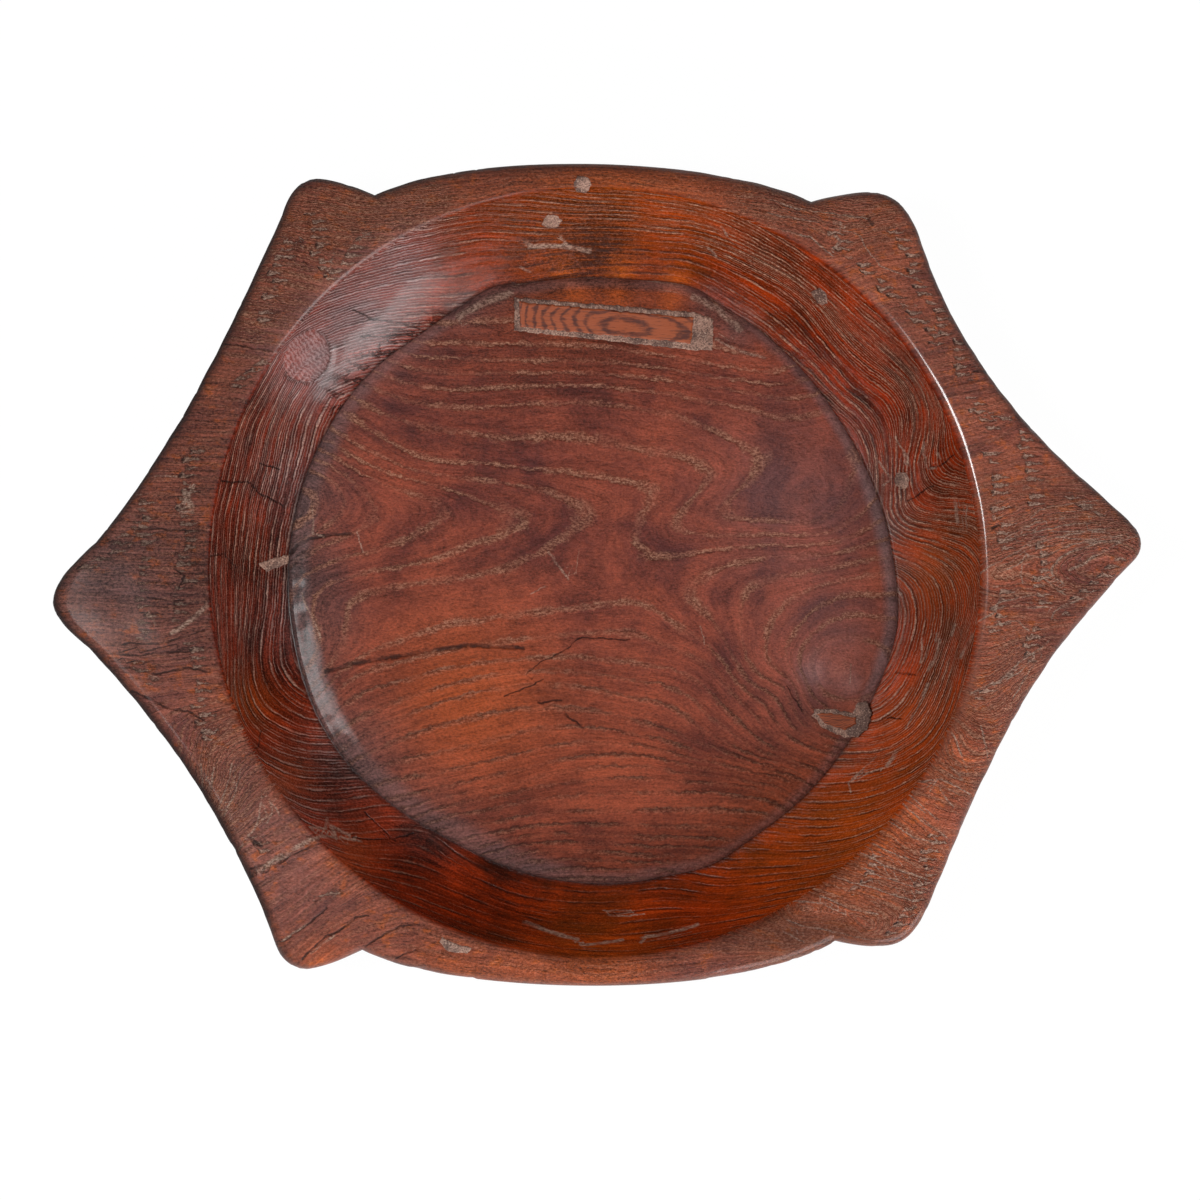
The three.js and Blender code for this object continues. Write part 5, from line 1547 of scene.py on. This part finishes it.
def carved_wood():
    """Old open-grained wood: the growth rings carry the filled pores, the stain and the relief."""
    shader = Shader("carved_wood")
    spot = shader.millimetres()
    x, y, _ = spot.parts()
    rings, pace, _ = shader.attribute("growth").parts()
    wall, rim, _ = shader.attribute("place").parts()
    # edge is the painted shade on the outer edge
    edge, lined, shoulder = shader.attribute("edge_shade_and_finish").parts()
    lighter, _, greyer = shader.attribute("tone").parts()
    # the middle value is the painted shade in the crevice round the floor
    chipped, crevice_shade, mouth = shader.attribute("wear_and_shade").parts()
    on_rim = rim * (1.0 - wall)

    # unevenness of three sizes and along the rings, each about -0.5 to 0.5
    drift = shader.noise(spot, 0.03, 2.0) - 0.5
    ragged = shader.noise(spot * (0.8, 1.0, 1.0), 0.2, 3.0, 0.65) - 0.5
    grit = shader.noise(spot * (0.6, 1.0, 1.0), 0.8, 3.0, 0.85) - 0.5
    hair = shader.noise(shader.join(rings * 4.5, x * 0.03, y * 0.03), 1.0, 4.0, 0.75) - 0.5
    grain = grit.step(-0.08, 0.1)

    count, band, groove = ring_lines(shader, spot, wall, drift, ragged)
    fine_line, fine_groove = finer_lines(shader, spot, wall, count, grit)
    in_knot, knot_lines, knot_groove = wall_knot(shader, drift, ragged)
    dart, dart_edge, dart_hole = rim_darts(shader, y, ragged, grit)

    # lighter carries the wood's own tone and also painted light and shade
    grained = 1.0 + lighter + grit * (2.6 - wall * 0.6 + on_rim * 0.2)
    grained = grained + hair * (1.7 + wall * 0.4 + on_rim * 0.7) - mouth * 0.05
    colour = stained_wood(shader, spot, wall, rim) * grained.most(0.12)

    # how much of the ring lines shows: less low on the floor, on the plain wall and on the rim
    shown = (1.0 - in_knot) * (1.0 - mouth * 0.4) * (1.0 - dart.most(dart_edge) * 0.8)
    coarse = (1.0 - on_rim * (0.7 - lined * 0.6)) * shown
    fine = ((wall + on_rim * 0.7) * lined * 0.9 + 0.06) * shown * pace.step(2.4, 4.8)
    bare = y.step(-20.0, -110.0) * (1.0 - wall) * (1.0 - rim)
    seen = 1.0 - bare * 0.55 - wall * ((0.55 - lined) * 2.2).most(0.0)
    pale_line = (band * (0.3 + grain * 0.7).most(wall * 0.8) * coarse * seen).most(fine_line * fine)
    pale_line = pale_line.most(in_knot * knot_lines * 0.3)
    dark_line = groove * (0.55 + bare * 0.35 + wall * 0.35) * coarse
    dark_line = dark_line.most(fine_groove * fine * 0.8).most(band * (1.0 - grain) * coarse * 0.5)

    # chips broken out along the fibres, cracks, and smears of putty
    torn = abs(shader.noise(spot * (0.045, 0.15, 0.1), 1.0, 4.0, 0.7) - 0.5)
    chip = torn.step(0.03, 0.005) * chipped
    crack = mark_share(shader, "dark", ragged + drift, 3.6)
    smear = mark_share(shader, "light", ragged + drift, 3.2)
    faint = shader.noise(spot, 0.12, 2.0).step(0.35, 0.55) * 0.6 + 0.4

    sunken = (dark_line * 0.8).most(dart_edge * 0.45).most(knot_groove * 0.6)
    colour = shader.mix(colour, tint(36, 14, 9), sunken)
    pale = shader.mix(tint(138, 78, 54), tint(214, 172, 144), grain * (0.45 + wall * 0.3))
    # painted highlights: the pale lines turn near white in the wall's painted sheen
    pale = shader.mix(pale, tint(206, 184, 186), (greyer * wall * 1.5).least(0.8))
    colour = shader.mix(colour, pale, pale_line * (0.7 + wall * 0.25 + on_rim * 0.15))
    dusty = shader.mix(tint(104, 74, 62), tint(184, 156, 138), grain)
    colour = shader.mix(colour, dusty * (0.92 + lighter).most(0.5), dart * 0.75)
    open_wood = (crack * faint * 0.85).most(chip * 0.8).most(dart_hole * 0.8)
    colour = shader.mix(colour, tint(34, 15, 12), open_wood)
    colour = shader.mix(colour, dusty, smear * faint * (0.6 + wall * 0.15 + on_rim * 0.15))
    # painted shade: the crevice round the floor and the outer edge are darkened towards near black
    shader.feed("Base Color", shader.mix(colour, tint(26, 11, 10), crevice_shade.most(edge * 0.75)))

    matt = pale_line.most(dart).most(smear)
    polish = (greyer * (0.2 + wall * 0.5)).most(mouth).most(on_rim * shoulder * (0.5 - edge * 0.4))
    rough = wall.step(0.0, 1.0, 0.42, 0.26) + grit * 0.2 + (matt * 0.15).most(edge * 0.3) - mouth * 0.1
    shader.feed("Roughness", rough)
    shader.feed("Specular IOR Level", 0.17)
    shader.feed("Coat Weight", polish * (1.0 - matt * 0.6))
    shader.feed("Coat Roughness", 0.16)

    swell = count.wave() * (0.1 + shoulder * greyer * 0.3 + wall * (0.06 + greyer * 0.3))
    relief = grit * (0.7 - wall * 0.5) + hair * (0.8 + on_rim * 0.8 - wall * 0.4)
    relief = relief + ragged * (1.2 + on_rim * 1.5 - wall * 0.4) + swell
    cut = groove * coarse * 0.4 + fine_groove * fine * 0.5 + crack * 0.7 + dart.most(dart_hole) * 0.8
    shader.bumped(relief + fine_line * fine * 0.45 - cut - knot_groove * 0.5 - chip * 1.2)
    return shader.material


def putty():
    """Sawdust putty: dull, grey-tan, with dark and light grit."""
    shader = Shader("putty")
    spot = shader.millimetres()
    grit = shader.noise(spot, 0.9, 3.0, 0.7)
    cloud = shader.noise(spot, 0.08, 2.0)
    colour = shader.mix(tint(104, 74, 63), tint(158, 120, 103), cloud.step(0.4, 0.6))
    colour = shader.mix(colour, tint(64, 40, 33), grit.step(0.5, 0.4) * 0.85)
    colour = shader.mix(colour, tint(206, 176, 156), grit.step(0.57, 0.66) * 0.75)
    shader.feed("Base Color", colour)
    shader.feed("Roughness", 0.62)
    shader.bumped(grit * 0.5)
    return shader.material


def patch_wood():
    """The let-in wood, with its own oval arches of grain."""
    shader = Shader("patch_wood")
    spot = shader.millimetres()
    x, y, _ = spot.parts()
    wave = shader.noise(spot * 0.07, 1.0, 3.0) - 0.5
    off_x = x - 14.0
    off_y = y + x * 0.087 - 170.0
    ahead = (off_x * -0.04).most(off_x * 0.02)
    oval = (ahead * ahead + off_y * off_y * 0.006) ** 0.5 + wave * 0.5
    arches = (oval.most(0.0) ** 1.5 * 1.9).wave() * 0.6
    grain = arches + shader.noise(spot * (0.08, 0.3, 0.2), 1.0, 4.0, 0.7) * 3.0 - 1.5
    fine = shader.noise(spot * (0.1, 0.8, 0.5), 1.0, 3.0, 0.7)
    colour = shader.mix(tint(88, 38, 25), tint(168, 84, 46), grain.step(-0.8, 0.2) * 0.85)
    colour = shader.mix(colour, tint(60, 26, 18), fine.step(0.48, 0.36) * 0.5)
    shader.feed("Base Color", colour)
    shader.feed("Roughness", 0.48)
    shader.bumped(fine * 0.3)
    return shader.material


# Mends

def wobbly(outline, pitch, by, seed):
    """The outline in short steps, a little uneven."""
    outline = np.array(outline, float)
    way = []
    for a, b in zip(outline, np.roll(outline, -1, 0)):
        steps = max(1, round(np.hypot(*(b - a)) / pitch))
        way += [a + (b - a) * k / steps for k in range(steps)]
    way = np.array(way)
    push = np.stack([wobble(way, 5, seed), wobble(way, 6, seed + 3)], -1)
    return way + by * push


def lump(wide, tall, uneven):
    """The outline of a putty plug: an uneven round of nine corners."""
    corners = []
    for i in range(9):
        angle = i / 9 * 2 * math.pi
        swell = 1 + uneven * math.sin(2.6 * i + 1)
        corners.append((math.cos(angle) * wide / 2 * swell, math.sin(angle) * tall / 2 * swell))
    return corners


def mend(name, outline, place_at, node, material, crown=0.0):
    """A thin closed plate that lies on the carving. place_at gives the spots for plan places and a lift."""
    edge = wobbly(outline, 0.8, 0.35, len(name))
    low, high = edge.min(0), edge.max(0)
    columns, rows = (np.arange(low[k], high[k], MEND_PITCH) for k in (0, 1))
    grid = np.stack(np.meshgrid(columns, rows), -1).reshape(-1, 2)
    grid[:, 0] += 0.5 * MEND_PITCH * (np.round((grid[:, 1] - low[1]) / MEND_PITCH) % 2)
    grid = grid[inside_by(grid, edge) > 0.5 * MEND_PITCH]
    flat = np.concatenate([edge, grid])
    count = len(edge)
    border = [(i, (i + 1) % count) for i in range(count)]
    places, _, faces, _, _, _ = delaunay_2d_cdt([Vector(p) for p in flat], border, [], 1, 1e-5)
    flat = np.array([tuple(p) for p in places])
    rise = crown * smooth(inside_by(flat, edge), 0, 4)
    top = place_at(flat, MEND_LIFT + rise)
    below = place_at(flat, -MEND_DEPTH + 0 * rise)
    n = len(flat)
    turned = [tuple(f) for f in faces]
    edges = dict.fromkeys((a, b) for f in turned for a, b in zip(f, f[1:] + f[:1]))
    sides = [(b, a, a + n, b + n) for a, b in edges if (b, a) not in edges]
    mesh = bpy.data.meshes.new(name)
    all_faces = turned + [tuple(i + n for i in f[::-1]) for f in turned] + sides
    mesh.from_pydata((np.concatenate([top, below]) * MM).tolist(), [], all_faces)
    mesh.shade_smooth()
    mesh.materials.append(material)
    piece = bpy.data.objects.new(name, mesh)
    bpy.context.scene.collection.objects.link(piece)
    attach(piece, "root")
    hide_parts(node)


def on_floor_at(plan, lift):
    direction, distance = unwrapped(plan)
    level = distance / (floor_radius(direction) - SHOULDER)
    height = FLOOR_HEIGHT + FLOOR_DOME * (1 - level ** 2)
    return np.c_[plan, height + floor_relief(plan) + lift]


def above_floor(by):
    return lambda plan, lift: on_floor_at(plan, lift + by)


def wall_at(direction, up):
    """A spot on the wall and the way out of it, for directions in degrees and ways up in millimetres."""
    edge = floor_radius(direction)
    foot = np.stack([edge, 0 * edge + CREVICE_HEIGHT], -1)
    corner = np.stack(wall_corner(edge), -1)
    mouth = np.stack([0 * edge + MOUTH - 1, 0 * edge + RIM_TOP - MOUTH_ROUND], -1)
    steps = np.linspace(0, 1, CURVE_POINTS)
    way = np.stack([bend([foot, corner, mouth], t) for t in steps])
    strides = np.hypot(*np.diff(way, axis=0).transpose(2, 0, 1))
    climbed = np.concatenate([np.zeros((1, len(edge))), np.cumsum(strides, 0)])
    share = np.array([np.interp(u, climbed[:, k], steps) for k, u in enumerate(up)])[:, None]
    here = bend([foot, corner, mouth], share)
    along = bend([corner - foot, mouth - corner], share)
    along /= np.hypot(*along.T)[:, None]
    angle = np.radians(direction)
    around = np.stack([np.cos(angle), np.sin(angle)], -1)
    spot = np.c_[HUB + around * here[:, :1], here[:, 1]]
    out = np.c_[-around * along[:, 1:], along[:, 0]]
    return spot, out


def on_wall_at(direction, height):
    """Places on the wall about the seat at this direction and height: to the right and up."""
    climb = np.linspace(0, WALL_CLIMB, CURVE_POINTS)
    heights = wall_at(np.full(CURVE_POINTS, direction), climb)[0][:, 2]
    seat = np.interp(height, heights, climb)

    def place_at(flat, lift):
        turned = direction - flat[:, 0] / DIRECTION_MM
        up = np.maximum(seat + flat[:, 1], 0)
        spot, out = wall_at(turned, up)
        lift = lift + wall_relief((turned - KNOT_DIRECTION) % 360 + KNOT_DIRECTION, up)
        return spot + out * np.reshape(lift, (-1, 1))

    return place_at


def on_rim_at(centre):
    def place_at(flat, lift):
        plan = flat + centre
        distance = np.hypot(*(plan - HUB).T)
        height = np.interp(distance - MOUTH, PAST_MOUTH, MOUTH_HEIGHTS)
        return np.c_[plan, np.minimum(height - 0.1 + lift, RIM_TOP - 0.05)]

    return place_at


def place_mends():
    wood, filler = patch_wood(), putty()
    mend("patch_bedding", PATCH_BED, on_floor_at, "floor_patch_filler", filler)
    mend("let_in_patch", PATCH, above_floor(0.25), "floor_patch", wood)
    mend("knot_bedding", KNOT_BED, on_floor_at, "knot_filler", filler)
    mend("knot_wood_chip", CHIP, above_floor(0.3), "knot_chip", wood)
    for name, outline, direction, height, node in (
        ("crack_wedge", CHIP_WEDGE, 177.6, 31, "wall_crack_filler"),
        ("plug_right", lump(12, 11, 0.08), 17.5, 36, "wall_plug_right"),
        ("plug_top", lump(12, 13, 0.1), 97, 56, "wall_plug_top"),
        ("plug_upper_right", lump(11, 12, 0.14), 51, 59, "wall_plug_upper_right"),
    ):
        mend(name, outline, on_wall_at(direction, height), node, filler, crown=0.3)
    upper, seat = lump(12, 10.5, 0.08), on_rim_at((-12.5, 252.5))
    mend("rim_plug_upper", upper, seat, "rim_plug_top", filler, crown=0.2)
    mend("rim_plug_lower", LOW_PLUG, on_rim_at((0, 0)), "rim_plug_bottom", filler)


# The picture

# How many millimetres a pixel shows in the rim's plane, and the picture's size in pixels, then the
# spot that is looked at, the tilt from straight above in degrees and the distance
VIEW_MM = 0.645
VIEW_SIZE = 1200
AIM = Vector((-0.9, -19.9, 86.0))
VIEW_TILT = (2.5, 5.5)
VIEW_DISTANCE = 2400.0


def set_camera():
    data = bpy.data.cameras.new("camera")
    data.sensor_width = 36
    data.lens = 36 * VIEW_DISTANCE / (VIEW_MM * VIEW_SIZE)
    data.clip_end = 20
    camera = bpy.data.objects.new("camera", data)
    lean_x, lean_y = (math.tan(math.radians(tilt)) for tilt in VIEW_TILT)
    back = Vector((-lean_x, -lean_y, 1)).normalized()
    right = (-back).cross(Vector((0, 1, 0))).normalized()
    up = right.cross(-back)
    camera.matrix_world = Matrix([
        [right[k], up[k], back[k], (AIM[k] + back[k] * VIEW_DISTANCE) * MM] for k in range(3)
    ] + [[0, 0, 0, 1]])
    bpy.context.scene.collection.objects.link(camera)
    bpy.context.scene.camera = camera


def lamp(name, heading, tilt, distance, size, power):
    """A round soft lamp: its heading around the bowl and its tilt from straight above, in degrees, its
    distance and width in metres and its power in watts."""
    heading, tilt = math.radians(heading), math.radians(tilt)
    way = Vector((math.cos(heading) * math.sin(tilt), math.sin(heading) * math.sin(tilt), math.cos(tilt)))
    data = bpy.data.lights.new(name, "AREA")
    data.shape = "DISK"
    data.size = size
    data.energy = power
    piece = bpy.data.objects.new(name, data)
    piece.location = way * distance
    piece.rotation_euler = way.to_track_quat("Z", "Y").to_euler()
    bpy.context.scene.collection.objects.link(piece)


def light_up():
    world = bpy.data.worlds.new("studio")
    bpy.context.scene.world = world
    world.use_nodes = True
    background = world.node_tree.nodes["Background"]
    background.inputs["Color"].default_value = (1, 1, 1, 1)
    background.inputs["Strength"].default_value = 0.2
    lamp("lamp_south_west", heading=187, tilt=25, distance=2.2, size=0.55, power=27)
    lamp("lamp_south_east", heading=308, tilt=76, distance=2.0, size=1.8, power=58)


def set_floor():
    mesh = bpy.data.meshes.new("floor")
    wide = 6.0
    corners = [(-wide, -wide, 0), (wide, -wide, 0), (wide, wide, 0), (-wide, wide, 0)]
    mesh.from_pydata(corners, [], [(0, 1, 2, 3)])
    floor = bpy.data.objects.new("floor", mesh)
    bpy.context.scene.collection.objects.link(floor)
    shader = Shader("white_floor")
    shader.feed("Base Color", (0.8, 0.8, 0.8, 1))
    shader.feed("Roughness", 1.0)
    ray = shader.place("ShaderNodeLightPath", {}, {})
    glow = shader.place("ShaderNodeEmission", {}, {"Color": (1, 1, 1, 1), "Strength": 1.02})
    rays = ("Is Camera Ray", "Is Glossy Ray", "Is Transmission Ray")
    camera, glossy, through = (Flow(shader, ray.outputs[name]) for name in rays)
    mixed = shader.place("ShaderNodeMixShader", {}, {0: camera.most(glossy).most(through) * 0.96})
    shader.tree.links.new(shader.surface.outputs[0], mixed.inputs[1])
    shader.tree.links.new(glow.outputs[0], mixed.inputs[2])
    shader.tree.links.new(mixed.outputs[0], shader.tree.nodes["Material Output"].inputs[0])
    mesh.materials.append(shader.material)


bowl = carved_bowl()
bowl.data.materials.append(carved_wood())
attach(bowl, "root")
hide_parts("bowl_body")
place_mends()
bpy.context.scene.view_settings.view_transform = "Standard"
set_camera()
light_up()
set_floor()
